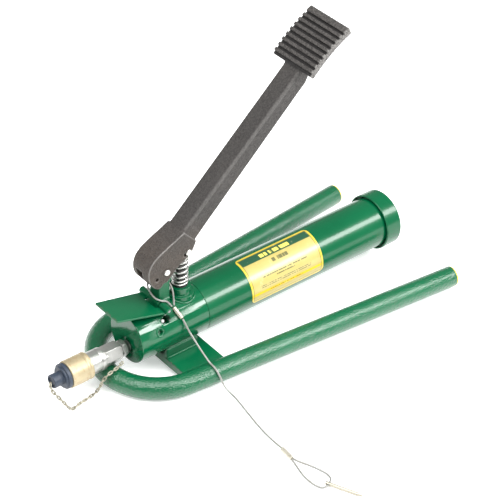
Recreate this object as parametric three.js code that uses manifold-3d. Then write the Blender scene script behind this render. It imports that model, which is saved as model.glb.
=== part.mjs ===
// Foot-operated hydraulic pump on a bent-tube frame, in millimetres, +Z up.
// X runs along the pump from the outlet coupler (low X) to the reservoir cap, Y is across it.
// Measured lengths start at the front face of the pump block (X = 0) on the floor (Z = 0);
// the finished group is then centred over its footprint.
import * as THREE from 'three';
import { mergeVertices } from 'three/addons/utils/BufferGeometryUtils.js';
import Module from 'manifold-3d';

const wasm = await Module();
wasm.setup();

// ---- driving dimensions -------------------------------------------------------------------
const GAP = 0.3; // left between pieces that touch

const TUBE_R = 15.875; // frame tube, 1 1/4 in outside
const TUBE_BORE = 13.0;
const TUBE_SIDES = 16;
const BEND_R = 87.2; // centreline radius of the front bend
const BEND_X = 53; // centre of the bend
const SPLAY = THREE.MathUtils.degToRad(5.7); // each leg opens outward
const LEG_END_X = 500;

const BODY_R = 38.1; // pump block and reservoir, 3 in outside
const BODY_SIDES = 32;
const BODY_Z = 60.3; // height of their axis
const RESERVOIR_BORE = 35;
const BLOCK_END_X = 116;
const SPIGOT_END_X = 136; // the block's turned-down end inside the reservoir tube
const SPIGOT_R = 34.6;
const TUBE_END_X = 470;
const CAP_START_X = 449.5;
const CAP_END_X = 478;
const CAP_R = 43.1;
const TIE_ROD_R = 4;

const PLATE_X = [44, 111]; // cross plate between the legs
const PLATE_Z = [9.3, 22];
const SADDLE_X = [43, 100];
const SADDLE_Y = [14, 33];
const SADDLE_TOP_Z = 37;

const PORT_Z = 46.3; // outlet and intake passages run along X at this height
const PLUNGER_X = 92;
const PLUNGER_R = 7;
const PLUNGER_LOW_Z = 66;
const BOSS_R = 15.6;
const BOSS_TOP_Z = 112.5;

const PIVOT_X = 55; // pedal pivot
const PIVOT_Z = 160;
const PIVOT_R = 3.6;
const PLUNGER_PIN_Z = 177.5;
const PLUNGER_PIN_R = 3;
const POST_HALF = 10.5; // half the thickness of the post between the pedal's ears
const EAR_INNER = 12.5;
const EAR_OUTER = 18.5;
const ARM_HALF = 16.25;
const ARM_WEB = 6; // thickness of the arm's front wall
const ARM_INNER = 10.25;
const LOCK_HOLE_R = 2.9;

const HINGE_X = 50; // release pedal's hinge
const HINGE_Z = 102.3;
const BARREL_R = 5.2;
const RELEASE_SLOPE = THREE.MathUtils.degToRad(15);
const RELEASE_THICK = 3;
const RELEASE_ROD_X = 14;

const WIRE_R = 1.4; // lanyard cable, plastic coated
const LOCK_PIN_R = 2.6;
const CHAIN_R = 2;

// ---- materials ----------------------------------------------------------------------------
function finish(colour, roughness, metalness) {
  return () => new THREE.MeshStandardMaterial({ color: colour, roughness, metalness });
}
const greenPaint = finish(0x0d6b3f, 0.35, 0.0);
const castIron = finish(0x5a5352, 0.75, 0.3);
const brightSteel = finish(0xc9cbc8, 0.28, 1.0);
const plainSteel = finish(0x8d8f90, 0.4, 1.0);
const yellowZinc = finish(0xd9c48a, 0.4, 0.8);
const blueRubber = finish(0x3b4656, 0.6, 0.0);
const blackRubber = finish(0x1c1c1c, 0.8, 0.0);
const yellowPlastic = finish(0xe3c62f, 0.5, 0.0);
const labelFilm = finish(0xe8d35a, 0.45, 0.0);
const coatedWire = finish(0xdedbd2, 0.5, 0.2);

// ---- geometry helpers ---------------------------------------------------------------------
function along(geometry, xAxis, yAxis, zAxis, origin) {
  const matrix = new THREE.Matrix4().makeBasis(xAxis, yAxis, zAxis).setPosition(origin);
  return geometry.applyMatrix4(matrix);
}

const X = new THREE.Vector3(1, 0, 0);
const Y = new THREE.Vector3(0, 1, 0);
const Z = new THREE.Vector3(0, 0, 1);
const MINUS_Y = new THREE.Vector3(0, -1, 0);

function vec(x, y, z) {
  return new THREE.Vector3(x, y, z);
}

function box(x0, x1, y0, y1, z0, z1) {
  const geometry = new THREE.BoxGeometry(x1 - x0, y1 - y0, z1 - z0);
  return geometry.translate((x0 + x1) / 2, (y0 + y1) / 2, (z0 + z1) / 2);
}

// A round bar between two points.
function bar(from, to, radius, sides = 16) {
  const axis = to.clone().sub(from);
  const geometry = new THREE.CylinderGeometry(radius, radius, axis.length(), sides);
  geometry.applyQuaternion(new THREE.Quaternion().setFromUnitVectors(Y, axis.clone().normalize()));
  const middle = from.clone().add(to).multiplyScalar(0.5);
  return geometry.translate(middle.x, middle.y, middle.z);
}

function barX(x0, x1, y, z, radius, sides) {
  return bar(vec(x0, y, z), vec(x1, y, z), radius, sides);
}

function barY(y0, y1, x, z, radius, sides) {
  return bar(vec(x, y0, z), vec(x, y1, z), radius, sides);
}

function barZ(z0, z1, x, y, radius, sides) {
  return bar(vec(x, y, z0), vec(x, y, z1), radius, sides);
}

// Outline in X and Z, as thick as y0 to y1.
function slabY(shape, y0, y1, curveSegments = 8) {
  const options = { depth: y1 - y0, bevelEnabled: false, curveSegments };
  return along(new THREE.ExtrudeGeometry(shape, options), X, Z, MINUS_Y, vec(0, y1, 0));
}

// Outline in Y and Z, from x0 to x1.
function slabX(shape, x0, x1, curveSegments = 8) {
  const options = { depth: x1 - x0, bevelEnabled: false, curveSegments };
  return along(new THREE.ExtrudeGeometry(shape, options), Y, Z, X, vec(x0, 0, 0));
}

// Turned piece: profile is [distance along the axis, radius] from one end to the other.
function turned(profile, sides, closed = false) {
  const points = profile.map(([at, radius]) => new THREE.Vector2(radius, at));
  if (THREE.ShapeUtils.area(points) < 0) points.reverse(); // keeps the faces pointing out
  if (closed) points.push(points[0].clone());
  return new THREE.LatheGeometry(points, sides);
}

function turnedX(profile, y, z, sides = 24, closed = false) {
  return along(turned(profile, sides, closed), Z, X, Y, vec(0, y, z));
}

function turnedZ(profile, x, y, sides = 20, closed = false) {
  return along(turned(profile, sides, closed), Y, Z, X, vec(x, y, 0));
}

// Ring of round section about an axis along X, for seals.
function sealX(x, z, ringRadius, sectionRadius) {
  const section = [];
  for (let i = 0; i < 6; i += 1) {
    const angle = (-i * Math.PI) / 3;
    section.push([x + sectionRadius * Math.sin(angle), ringRadius + sectionRadius * Math.cos(angle)]);
  }
  return turnedX(section, 0, z, BODY_SIDES, true);
}

function hexagonX(x0, x1, z, acrossFlats) {
  const geometry = barX(x0, x1, 0, 0, acrossFlats / Math.sqrt(3), 6);
  return geometry.rotateX(Math.PI / 6).translate(0, 0, z);
}

function polygon(points) {
  return new THREE.Shape(points.map(([a, b]) => new THREE.Vector2(a, b)));
}

function ngon(radius, sides, bore = 0) {
  const corner = (i) => {
    const angle = ((i + 0.5) * 2 * Math.PI) / sides;
    return [Math.cos(angle), Math.sin(angle)];
  };
  const points = Array.from({ length: sides }, (_, i) => corner(i));
  const shape = polygon(points.map(([a, b]) => [a * radius, b * radius]));
  if (bore) shape.holes.push(polygon(points.map(([a, b]) => [a * bore, b * bore])));
  return shape;
}

// A path whose sections stand exactly at the given points, square to the given directions.
class StationPath extends THREE.Curve {
  constructor(points, tangents) {
    super();
    this.points = points;
    this.tangents = tangents;
  }

  getUtoTmapping(u) {
    return u;
  }

  getPoint(t, target = new THREE.Vector3()) {
    return target.copy(this.points[Math.round(t * (this.points.length - 1))]);
  }

  getTangent(t, target = new THREE.Vector3()) {
    return target.copy(this.tangents[Math.round(t * (this.tangents.length - 1))]);
  }
}

class Helix extends THREE.Curve {
  constructor(radius, start, end, turns) {
    super();
    Object.assign(this, { radius, start, end, turns });
  }

  getPoint(t, target = new THREE.Vector3()) {
    const angle = 2 * Math.PI * this.turns * t;
    const along = THREE.MathUtils.lerp(this.start, this.end, t);
    return target.set(this.radius * Math.cos(angle), this.radius * Math.sin(angle), along);
  }
}

// Coil spring about Z, its ends at start and end once the wire's thickness is counted.
function coil(radius, wire, start, end, turns, stepsPerTurn = 10, sides = 6) {
  const helix = new Helix(radius, start + wire, end - wire, turns);
  const steps = Math.round(turns * stepsPerTurn);
  return new THREE.ExtrudeGeometry(ngon(wire, sides), { steps, extrudePath: helix });
}

// Smooth wire through the points.
function wire(points, radius, steps, sides = 8) {
  const curve = new THREE.CatmullRomCurve3(points.map((p) => vec(...p)), false, 'centripetal');
  return new THREE.ExtrudeGeometry(ngon(radius, sides), { steps, extrudePath: curve });
}

function solid(geometry) {
  const plain = geometry.index ? geometry.toNonIndexed() : geometry.clone();
  plain.deleteAttribute('normal');
  plain.deleteAttribute('uv');
  const merged = mergeVertices(plain, 1e-4);
  const vertProperties = new Float32Array(merged.attributes.position.array);
  const triVerts = new Uint32Array(merged.index.array);
  return new wasm.Manifold(new wasm.Mesh({ numProp: 3, vertProperties, triVerts }));
}

function surface(manifold) {
  const result = manifold.getMesh();
  const geometry = new THREE.BufferGeometry();
  geometry.setAttribute('position', new THREE.BufferAttribute(result.vertProperties, 3));
  geometry.setIndex(new THREE.BufferAttribute(result.triVerts, 1));
  return geometry;
}

// Joins the first list of geometries and cuts the second list away.
function joinAndCut(joined, cuts) {
  let result = solid(joined[0]);
  for (const extra of joined.slice(1)) result = result.add(solid(extra));
  for (const cut of cuts) result = result.subtract(solid(cut));
  return surface(result);
}

function add(group, name, geometry, material) {
  const mesh = new THREE.Mesh(geometry, material());
  mesh.name = name;
  group.add(mesh);
  return mesh;
}

// ---- frame --------------------------------------------------------------------------------
// Point on a leg's centreline; side is 1 for the +Y leg and -1 for the other.
function legPoint(side, x) {
  const tangentX = BEND_X - BEND_R * Math.sin(SPLAY);
  const y = BEND_R * Math.cos(SPLAY) + (x - tangentX) * Math.tan(SPLAY);
  return vec(x, side * y, TUBE_R);
}

// Centreline of the bent tube: one leg in, round the front bend, the other leg out.
function frameStations() {
  const bendSteps = 16;
  const points = [];
  const tangents = [];
  for (let i = 0; i <= bendSteps; i += 1) {
    const angle = Math.PI / 2 + SPLAY + (i / bendSteps) * (Math.PI - 2 * SPLAY);
    points.push(vec(BEND_X + BEND_R * Math.cos(angle), BEND_R * Math.sin(angle), TUBE_R));
    tangents.push(vec(-Math.sin(angle), Math.cos(angle), 0));
  }
  points.unshift(legPoint(1, LEG_END_X));
  points.push(legPoint(-1, LEG_END_X));
  tangents.unshift(tangents[0].clone());
  tangents.push(tangents[bendSteps + 1].clone());
  return { points, tangents };
}

function frameTube(radius, bore = 0) {
  const { points, tangents } = frameStations();
  const path = new StationPath(points, tangents);
  const flats = radius / Math.cos(Math.PI / TUBE_SIDES); // flats touch the floor
  const section = ngon(flats, TUBE_SIDES, bore);
  return new THREE.ExtrudeGeometry(section, { steps: points.length - 1, extrudePath: path });
}

function endPlug(side) {
  const direction = vec(Math.cos(SPLAY), side * Math.sin(SPLAY), 0);
  const end = legPoint(side, LEG_END_X);
  const across = Z.clone().cross(direction);
  const boreFit = TUBE_BORE * Math.cos(Math.PI / TUBE_SIDES) - GAP;
  const profile = [[-18, 0], [-18, boreFit], [GAP, boreFit], [GAP, 15.2], [2.2, 15.2], [3, 14], [3, 0]];
  return along(turned(profile, TUBE_SIDES), across, direction, Z.clone().negate(), end);
}

function crossPlate() {
  const slab = box(PLATE_X[0], PLATE_X[1], -86, 86, PLATE_Z[0], PLATE_Z[1]);
  return joinAndCut([slab], [frameTube(TUBE_R + GAP)]);
}

function saddle(side) {
  const low = Math.min(side * SADDLE_Y[0], side * SADDLE_Y[1]);
  const high = Math.max(side * SADDLE_Y[0], side * SADDLE_Y[1]);
  const strip = box(SADDLE_X[0], SADDLE_X[1], low, high, PLATE_Z[1] + GAP, SADDLE_TOP_Z);
  return joinAndCut([strip], [barX(0, BLOCK_END_X, 0, BODY_Z, BODY_R + GAP, BODY_SIDES)]);
}

function buildFrame(group) {
  add(group, 'frame_tube', frameTube(TUBE_R, TUBE_BORE), greenPaint);
  add(group, 'end_plug_left', endPlug(1), yellowPlastic);
  add(group, 'end_plug_right', endPlug(-1), yellowPlastic);
  add(group, 'cross_plate', crossPlate(), greenPaint);
  add(group, 'saddle_strip_left', saddle(1), greenPaint);
  add(group, 'saddle_strip_right', saddle(-1), greenPaint);
}

// ---- pump block ---------------------------------------------------------------------------
// Direction square to the block's axis; 0 degrees is -Y and 90 is straight up.
function radial(x, degrees, distance) {
  const angle = THREE.MathUtils.degToRad(degrees);
  return vec(x, -distance * Math.cos(angle), BODY_Z + distance * Math.sin(angle));
}

const RELIEF = { x: 32.5, degrees: 25 };
const BLEED = { x: 49, degrees: 45 };
const BLEED_STEM_X = 42.5;

function pumpBlock() {
  const body = turnedX(
    [[0, 0], [0, BODY_R - 1], [1, BODY_R], [BLOCK_END_X, BODY_R], [BLOCK_END_X, SPIGOT_R],
      [124, SPIGOT_R], [124, 32], [128, 32], [128, SPIGOT_R], [SPIGOT_END_X, SPIGOT_R], [SPIGOT_END_X, 0]],
    0, BODY_Z, BODY_SIDES,
  );
  const portBores = [
    barX(-1, 18, 0, PORT_Z, 7.3),
    barX(17, 40, 0, PORT_Z, 5.5),
    barX(39, 105, 0, PORT_Z, 2.5, 12),
    barX(104, SPIGOT_END_X + 1, 0, PORT_Z, 5.5),
  ];
  const plungerBores = [
    barZ(36, 120, PLUNGER_X, 0, 7.5),
    barZ(76, 120, PLUNGER_X, 0, 12.4),
  ];
  const releaseBores = [
    barZ(55.5, 120, RELEASE_ROD_X, 0, 3.4, 16),
    barZ(84, 120, RELEASE_ROD_X, 0, 6.5, 20),
  ];
  const sideBores = [
    bar(radial(RELIEF.x, RELIEF.degrees, 20), radial(RELIEF.x, RELIEF.degrees, 45), 7.4),
    bar(radial(RELIEF.x, RELIEF.degrees, 0), radial(RELIEF.x, RELIEF.degrees, 21), 2.5, 12),
    barZ(PORT_Z, BODY_Z, RELIEF.x, 0, 2.5, 12),
    bar(radial(BLEED.x, BLEED.degrees, 18), radial(BLEED.x, BLEED.degrees, 45), 5.8, 20),
    bar(radial(BLEED_STEM_X, BLEED.degrees, 24), radial(BLEED_STEM_X, BLEED.degrees, 45), 4.2, 16),
  ];
  const rodBore = barX(112, SPIGOT_END_X + 1, 0, BODY_Z, TIE_ROD_R + GAP, 16);
  return joinAndCut([body], [...portBores, ...plungerBores, ...releaseBores, ...sideBores, rodBore]);
}

function ballAt(position, radius) {
  return new THREE.SphereGeometry(radius, 10, 8).translate(position.x, position.y, position.z);
}

// A small coil spring lying from one point to another.
function coilBetween(from, to, radius, wireRadius, turns) {
  const axis = to.clone().sub(from);
  const geometry = coil(radius, wireRadius, 0, axis.length(), turns, 8, 4);
  geometry.applyQuaternion(new THREE.Quaternion().setFromUnitVectors(Z, axis.normalize()));
  return geometry.translate(from.x, from.y, from.z);
}

function reliefPlug() {
  const from = radial(RELIEF.x, RELIEF.degrees, 31);
  const to = radial(RELIEF.x, RELIEF.degrees, 38.4);
  const socketFrom = radial(RELIEF.x, RELIEF.degrees, 34);
  const socketTo = radial(RELIEF.x, RELIEF.degrees, 40);
  return joinAndCut([bar(from, to, 7, 24)], [bar(socketFrom, socketTo, 3.6, 6)]);
}

function intakeTube() {
  const profile = [[115.5, 2.5], [115.5, 5.1], [139, 5.1], [139, 4], [192, 4], [192, 2.5]];
  return turnedX(profile, 0, PORT_Z, 16, true);
}

function intakeScreen() {
  const profile = [[180, 4.3], [180, 8.5], [214, 8.5], [214, 0], [212, 0], [212, 7.3], [182, 7.3], [182, 4.3]];
  return turnedX(profile, 0, PORT_Z, 16, true);
}

function buildBlock(group) {
  add(group, 'pump_block', pumpBlock(), greenPaint);
  add(group, 'outlet_check_ball', ballAt(vec(36.2, 0, PORT_Z), 4.2), brightSteel);
  const springEnd = vec(31.6, 0, PORT_Z);
  add(group, 'outlet_check_spring', coilBetween(vec(15, 0, PORT_Z), springEnd, 3.4, 0.6, 5), plainSteel);
  add(group, 'intake_check_ball', ballAt(vec(111.7, 0, PORT_Z), 4.2), brightSteel);
  add(group, 'intake_tube', intakeTube(), plainSteel);
  add(group, 'intake_screen', intakeScreen(), plainSteel);
  add(group, 'relief_ball', ballAt(radial(RELIEF.x, RELIEF.degrees, 23.2), 3.8), brightSteel);
  const springLow = radial(RELIEF.x, RELIEF.degrees, 25.6);
  const springHigh = radial(RELIEF.x, RELIEF.degrees, 30.7);
  add(group, 'relief_spring', coilBetween(springLow, springHigh, 4.6, 0.6, 3), plainSteel);
  add(group, 'relief_plug', reliefPlug(), greenPaint);
  const stemLow = radial(BLEED_STEM_X, BLEED.degrees, 24.5);
  const stemHigh = radial(BLEED_STEM_X, BLEED.degrees, 38.6);
  add(group, 'bleed_stem', bar(stemLow, stemHigh, 3.4, 16), brightSteel);
}

// ---- reservoir ----------------------------------------------------------------------------
function reservoirCap() {
  const profile = [
    [CAP_START_X, 40.6], [CAP_START_X, CAP_R - 0.8], [CAP_START_X + 0.8, CAP_R], [CAP_END_X - 2, CAP_R],
    [CAP_END_X, CAP_R - 2], [CAP_END_X, TIE_ROD_R + GAP], [TUBE_END_X + GAP, TIE_ROD_R + GAP],
    [TUBE_END_X + GAP, 30], [457, 30], [457, SPIGOT_R], [462, SPIGOT_R], [462, 32.2], [466, 32.2],
    [466, SPIGOT_R], [TUBE_END_X + GAP, SPIGOT_R], [TUBE_END_X + GAP, 38.6], [456, 38.6], [456, 40.6],
  ];
  const cap = turnedX(profile, 0, BODY_Z, BODY_SIDES, true);
  return joinAndCut([cap], [barX(TUBE_END_X - 1, CAP_END_X + 1, 0, BODY_Z + 22, 6.3, 16)]);
}

function fillerPlug() {
  const shank = barX(TUBE_END_X + 1, CAP_END_X + 1, 0, BODY_Z + 22, 5.8, 16);
  return joinAndCut([shank, hexagonX(CAP_END_X + GAP, CAP_END_X + 7, BODY_Z + 22, 16)], []);
}

function tieRodNut() {
  const nut = hexagonX(CAP_END_X + GAP, CAP_END_X + 7, BODY_Z, 14);
  return joinAndCut([nut], [barX(CAP_END_X - 1, CAP_END_X + 9, 0, BODY_Z, TIE_ROD_R + GAP, 16)]);
}

// Printed film wrapped on the reservoir from below the side to just past the top.
function nameLabel() {
  const inner = BODY_R + GAP;
  const outer = inner + 0.4;
  const from = THREE.MathUtils.degToRad(180 + 15);
  const to = THREE.MathUtils.degToRad(80);
  const arc = new THREE.Shape();
  arc.absarc(0, BODY_Z, outer, from, to, true);
  arc.absarc(0, BODY_Z, inner, to, from, false);
  return slabX(arc, 193, 326, 12);
}

function buildReservoir(group) {
  const start = BLOCK_END_X + GAP;
  const tube = [[start, RESERVOIR_BORE], [start, BODY_R], [TUBE_END_X, BODY_R], [TUBE_END_X, RESERVOIR_BORE]];
  add(group, 'reservoir_tube', turnedX(tube, 0, BODY_Z, BODY_SIDES, true), greenPaint);
  add(group, 'reservoir_seal_front', sealX(126, BODY_Z, 33.3, 1.1), blackRubber);
  add(group, 'reservoir_seal_rear', sealX(464, BODY_Z, 33.5, 1.1), blackRubber);
  add(group, 'reservoir_cap', reservoirCap(), greenPaint);
  add(group, 'tie_rod', barX(112.5, CAP_END_X + 8, 0, BODY_Z, TIE_ROD_R, 16), plainSteel);
  add(group, 'tie_rod_nut', tieRodNut(), plainSteel);
  add(group, 'filler_plug', fillerPlug(), plainSteel);
  add(group, 'name_label', nameLabel(), labelFilm);
}

// ---- plunger, gland and return spring -----------------------------------------------------
const RETAINER_Z = 165.3; // underside of the spring's washer at rest

function plungerGland() {
  const boss = barZ(70, BOSS_TOP_Z, PLUNGER_X, 0, BOSS_R, 24);
  const collar = barZ(70, 101.5, PLUNGER_X, 0, 20, 24);
  const upper = joinAndCut([boss, collar], [barX(0, BLOCK_END_X + 20, 0, BODY_Z, BODY_R + GAP, BODY_SIDES)]);
  const neck = barZ(76.4, 105, PLUNGER_X, 0, 12);
  const bore = barZ(60, 120, PLUNGER_X, 0, PLUNGER_R + GAP);
  const sealSeat = barZ(108, 120, PLUNGER_X, 0, 10.2);
  return joinAndCut([upper, neck], [bore, sealSeat]);
}

function plunger() {
  const profile = [
    [PLUNGER_LOW_Z, 0], [PLUNGER_LOW_Z, PLUNGER_R], [RETAINER_Z + 2.8, PLUNGER_R], [RETAINER_Z + 2.8, 9.2],
    [RETAINER_Z + 5, 9.2], [RETAINER_Z + 5, PLUNGER_R], [184, PLUNGER_R], [186, 5], [186, 0],
  ];
  const rod = turnedZ(profile, PLUNGER_X, 0, 16);
  return joinAndCut([rod], [barY(-12, 12, PLUNGER_X, PLUNGER_PIN_Z, PLUNGER_PIN_R + GAP, 20)]);
}

// Pin across the pedal's ears: a head on the -Y side, a groove for the clip on the other.
function crossPin(x, z, radius) {
  const profile = [
    [-21.2, 0], [-21.2, 3.6], [-20.3, 4.75], [-18.9, 4.75], [-18.9, radius], [19.2, radius],
    [19.2, radius - 1], [20.4, radius - 1], [20.4, radius], [22, radius], [22, 0],
  ];
  return along(turned(profile, 14), Z, Y, X.clone().negate(), vec(x, 0, z));
}

function pinClip(x, z, radius) {
  const profile = [[19.4, radius - 0.7], [19.4, radius + 2.4], [20.2, radius + 2.4], [20.2, radius - 0.7]];
  return along(turned(profile, 14, true), Z, Y, X.clone().negate(), vec(x, 0, z));
}

function buildPlunger(group) {
  add(group, 'plunger_gland', plungerGland(), greenPaint);
  const wiper = [[108.3, 7.4], [108.3, 9.9], [112.2, 9.9], [112.2, 7.4]];
  add(group, 'gland_wiper', turnedZ(wiper, PLUNGER_X, 0, 24, true), blackRubber);
  add(group, 'plunger', plunger(), brightSteel);
  const washer = [[RETAINER_Z, 7.4], [RETAINER_Z, 11.8], [RETAINER_Z + 2.5, 11.8], [RETAINER_Z + 2.5, 7.4]];
  add(group, 'spring_washer', turnedZ(washer, PLUNGER_X, 0, 24, true), brightSteel);
  const spring = coil(10.3, 1.35, BOSS_TOP_Z + GAP, RETAINER_Z - GAP, 7.5);
  add(group, 'return_spring', spring.translate(PLUNGER_X, 0, 0), brightSteel);
  add(group, 'plunger_pin', crossPin(PLUNGER_X, PLUNGER_PIN_Z, PLUNGER_PIN_R), brightSteel);
  add(group, 'plunger_pin_clip', pinClip(PLUNGER_X, PLUNGER_PIN_Z, PLUNGER_PIN_R), plainSteel);
}

// ---- pedal post and pivot -----------------------------------------------------------------
function pedalPost() {
  const side = new THREE.Shape();
  side.moveTo(48, 80);
  side.lineTo(48, 156);
  side.lineTo(38.5, 158);
  side.lineTo(38.5, PIVOT_Z + 2.2);
  side.lineTo(43.4, PIVOT_Z + 2.2);
  side.absarc(PIVOT_X, PIVOT_Z, 11.8, THREE.MathUtils.degToRad(169), 0, true);
  side.lineTo(66, 80);
  const foot = box(43.5, 66, -EAR_INNER, EAR_INNER, 80, 108);
  const cuts = [
    barX(0, BLOCK_END_X, 0, BODY_Z, BODY_R + GAP, BODY_SIDES),
    barY(-20, 20, PIVOT_X, PIVOT_Z, PIVOT_R + GAP),
    barY(-20, 20, HINGE_X, HINGE_Z, 2.6, 16),
  ];
  return joinAndCut([slabY(side, -POST_HALF, POST_HALF), foot], cuts);
}

function buildPost(group) {
  add(group, 'pedal_post', pedalPost(), greenPaint);
  add(group, 'pivot_pin', crossPin(PIVOT_X, PIVOT_Z, PIVOT_R), brightSteel);
  add(group, 'pivot_pin_clip', pinClip(PIVOT_X, PIVOT_Z, PIVOT_R), plainSteel);
}

// ---- foot pedal ---------------------------------------------------------------------------
const ARM_LOW = [85, 213.4]; // front face of the arm, at the yoke
const ARM_HIGH = [276, 391]; // and where the tread starts
const ARM_DEPTH_LOW = 31;
const ARM_DEPTH_HIGH = 26;
const TREAD_LOW = [277, 399.5];
const TREAD_HIGH = [345, 450.8];
const TREAD_RISE = 4.1; // how far the tread's arc stands off its chord
const TREAD_HALF = 39.6;
const TREAD_SHELF = 0.055; // share of the tread below its first rib
const TREAD_RIBS = 9;
const TOP_RIB = 0.125; // share that the wide last rib takes
const RIB_HEIGHT = 3.2;
const TREAD_PLATE = 8;

function yokeOutline() {
  const shape = new THREE.Shape();
  shape.moveTo(...ARM_LOW);
  const rear = [[72, 207], [54, 198.7], [36, 188.5], [27.5, 178.5], [24.5, 166], [26.5, 154], [32, 144.5],
    [38.5, 138.3], [43.5, 136.6], [47.5, 139], [51, 142.5], [56, 142.8], [61, 146]];
  shape.splineThru(rear.map(([x, z]) => new THREE.Vector2(x, z)));
  shape.lineTo(71, 157);
  shape.lineTo(80, 163.5);
  shape.quadraticCurveTo(96, 169.5, 101, 181);
  shape.lineTo(106.1, 190.7);
  return shape;
}

function armOutline(inset) {
  const [lowX, lowZ] = ARM_LOW;
  const [highX, highZ] = ARM_HIGH;
  const run = new THREE.Vector2(highX - lowX, highZ - lowZ).normalize();
  const inward = new THREE.Vector2(run.y, -run.x);
  const at = (x, z, depth) => [x + inward.x * depth, z + inward.y * depth];
  if (inset) {
    return polygon([at(lowX, lowZ, inset), at(lowX - 40, lowZ - 37, inset + 3), at(lowX - 40, lowZ - 37, 70),
      at(highX - 8, highZ - 7, 60), at(highX - 8, highZ - 7, inset)]);
  }
  const rootX = lowX - 4.4; // the arm runs a little way into the yoke
  const rootZ = lowZ - 4.1;
  return polygon([[rootX, rootZ], [highX, highZ], [highX + 18, highZ + 22], [highX + 33, highZ + 12],
    at(highX, highZ, ARM_DEPTH_HIGH), at(rootX, rootZ, ARM_DEPTH_LOW)]);
}

// Inside of the yoke, open towards the plunger and below.
function yokeHollow() {
  const shape = new THREE.Shape();
  shape.moveTo(100, 219.5);
  shape.splineThru([[92, 212.5], [78, 204], [58, 194], [41, 185], [33, 177], [30, 166], [32, 155.5],
    [38, 147]].map(([x, z]) => new THREE.Vector2(x, z)));
  shape.lineTo(47, 125);
  shape.lineTo(140, 125);
  shape.lineTo(140, 219.5);
  return shape;
}

// Stadium-shaped slot for the plunger's pin, aimed at the pivot.
function pinSlot() {
  const reachX = PLUNGER_X - PIVOT_X;
  const reachZ = PLUNGER_PIN_Z - PIVOT_Z;
  const reach = Math.hypot(reachX, reachZ);
  const angle = Math.atan2(reachZ, reachX);
  const halfWidth = PLUNGER_PIN_R + 0.7;
  const slot = new THREE.Shape();
  slot.absarc(reach + 0.4, 0, halfWidth, -Math.PI / 2, Math.PI / 2, false);
  slot.absarc(reachX - 0.4, 0, halfWidth, Math.PI / 2, (3 * Math.PI) / 2, false);
  const cut = slabY(slot, -30, 30);
  return cut.rotateY(-angle).translate(PIVOT_X, 0, PIVOT_Z);
}

// Convex tread plate with square ribs across it, cut from one outline in X and Z.
function tread() {
  const chord = new THREE.Vector2(TREAD_HIGH[0] - TREAD_LOW[0], TREAD_HIGH[1] - TREAD_LOW[1]);
  const radius = chord.length() ** 2 / (8 * TREAD_RISE) + TREAD_RISE / 2;
  const halfAngle = Math.asin(chord.length() / (2 * radius));
  const normal = new THREE.Vector2(-chord.y, chord.x).normalize();
  const centreX = (TREAD_LOW[0] + TREAD_HIGH[0]) / 2 + normal.x * (TREAD_RISE - radius);
  const centreZ = (TREAD_LOW[1] + TREAD_HIGH[1]) / 2 + normal.y * (TREAD_RISE - radius);
  const middle = Math.atan2(normal.y, normal.x);
  const point = (share, depth) => {
    const angle = middle + halfAngle * (1 - 2 * share);
    const r = radius - depth;
    return [centreX + r * Math.cos(angle), centreZ + r * Math.sin(angle)];
  };
  const outline = [point(0, RIB_HEIGHT)];
  const pitch = (1 - TREAD_SHELF - TOP_RIB) / (TREAD_RIBS - 1);
  for (let rib = 0; rib < TREAD_RIBS; rib += 1) {
    const start = TREAD_SHELF + rib * pitch;
    const end = rib < TREAD_RIBS - 1 ? start + 0.7 * pitch : 1;
    outline.push(point(start, RIB_HEIGHT), point(start + 0.1 * pitch, 0.2), point(end - 0.1 * pitch, 0.2));
    outline.push(point(end, RIB_HEIGHT));
  }
  for (let i = 0; i <= 6; i += 1) outline.push(point(1 - i / 6, RIB_HEIGHT + TREAD_PLATE));
  return slabY(polygon(outline), -TREAD_HALF, TREAD_HALF);
}

function footPedal() {
  const joined = [
    slabY(yokeOutline(), -EAR_OUTER, EAR_OUTER, 3),
    slabY(armOutline(0), -ARM_HALF, ARM_HALF),
  ];
  const cuts = [
    slabY(yokeHollow(), -EAR_INNER, EAR_INNER, 3),
    slabY(armOutline(ARM_WEB), -ARM_INNER, ARM_INNER),
    barY(-30, 30, PIVOT_X, PIVOT_Z, PIVOT_R + GAP, 20),
    barY(-30, 30, PIVOT_X - 15.8, PIVOT_Z - 6.3, LOCK_HOLE_R, 16),
    pinSlot(),
    box(15, 36, -2.5, 11, 149, 164),
  ];
  const casting = joinAndCut(joined, cuts);
  return joinAndCut([casting, tread()], []);
}

function buildPedal(group) {
  add(group, 'foot_pedal', footPedal(), castIron);
}

// ---- release pedal ------------------------------------------------------------------------
function releasePedal() {
  const plan = new THREE.Shape(); // outline with the hinge at 0 and the free edge out along +X
  const reach = 86.5;
  plan.moveTo(3, -29);
  plan.lineTo(reach - 3, -25.7);
  plan.quadraticCurveTo(reach, -25.6, reach, -22.6);
  plan.lineTo(reach, 22.6);
  plan.quadraticCurveTo(reach, 25.6, reach - 3, 25.7);
  plan.lineTo(3, 29);
  plan.lineTo(3, 13.2);
  plan.lineTo(11, 13.2);
  plan.lineTo(11, -13.2);
  plan.lineTo(3, -13.2);
  const options = { depth: RELEASE_THICK, bevelEnabled: false, curveSegments: 3 };
  const sheet = new THREE.ExtrudeGeometry(plan, options);
  const outward = vec(-Math.cos(RELEASE_SLOPE), 0, Math.sin(RELEASE_SLOPE));
  const upward = vec(Math.sin(RELEASE_SLOPE), 0, Math.cos(RELEASE_SLOPE));
  const origin = vec(HINGE_X, 0, HINGE_Z - 2.3).addScaledVector(upward, -RELEASE_THICK);
  along(sheet, outward, MINUS_Y, upward, origin);
  const barrels = [-32, 13].map((y) => barY(y, y + 19, HINGE_X, HINGE_Z, BARREL_R, 20));
  return joinAndCut([sheet, ...barrels], [barY(-40, 40, HINGE_X, HINGE_Z, 2.6, 16)]);
}

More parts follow.
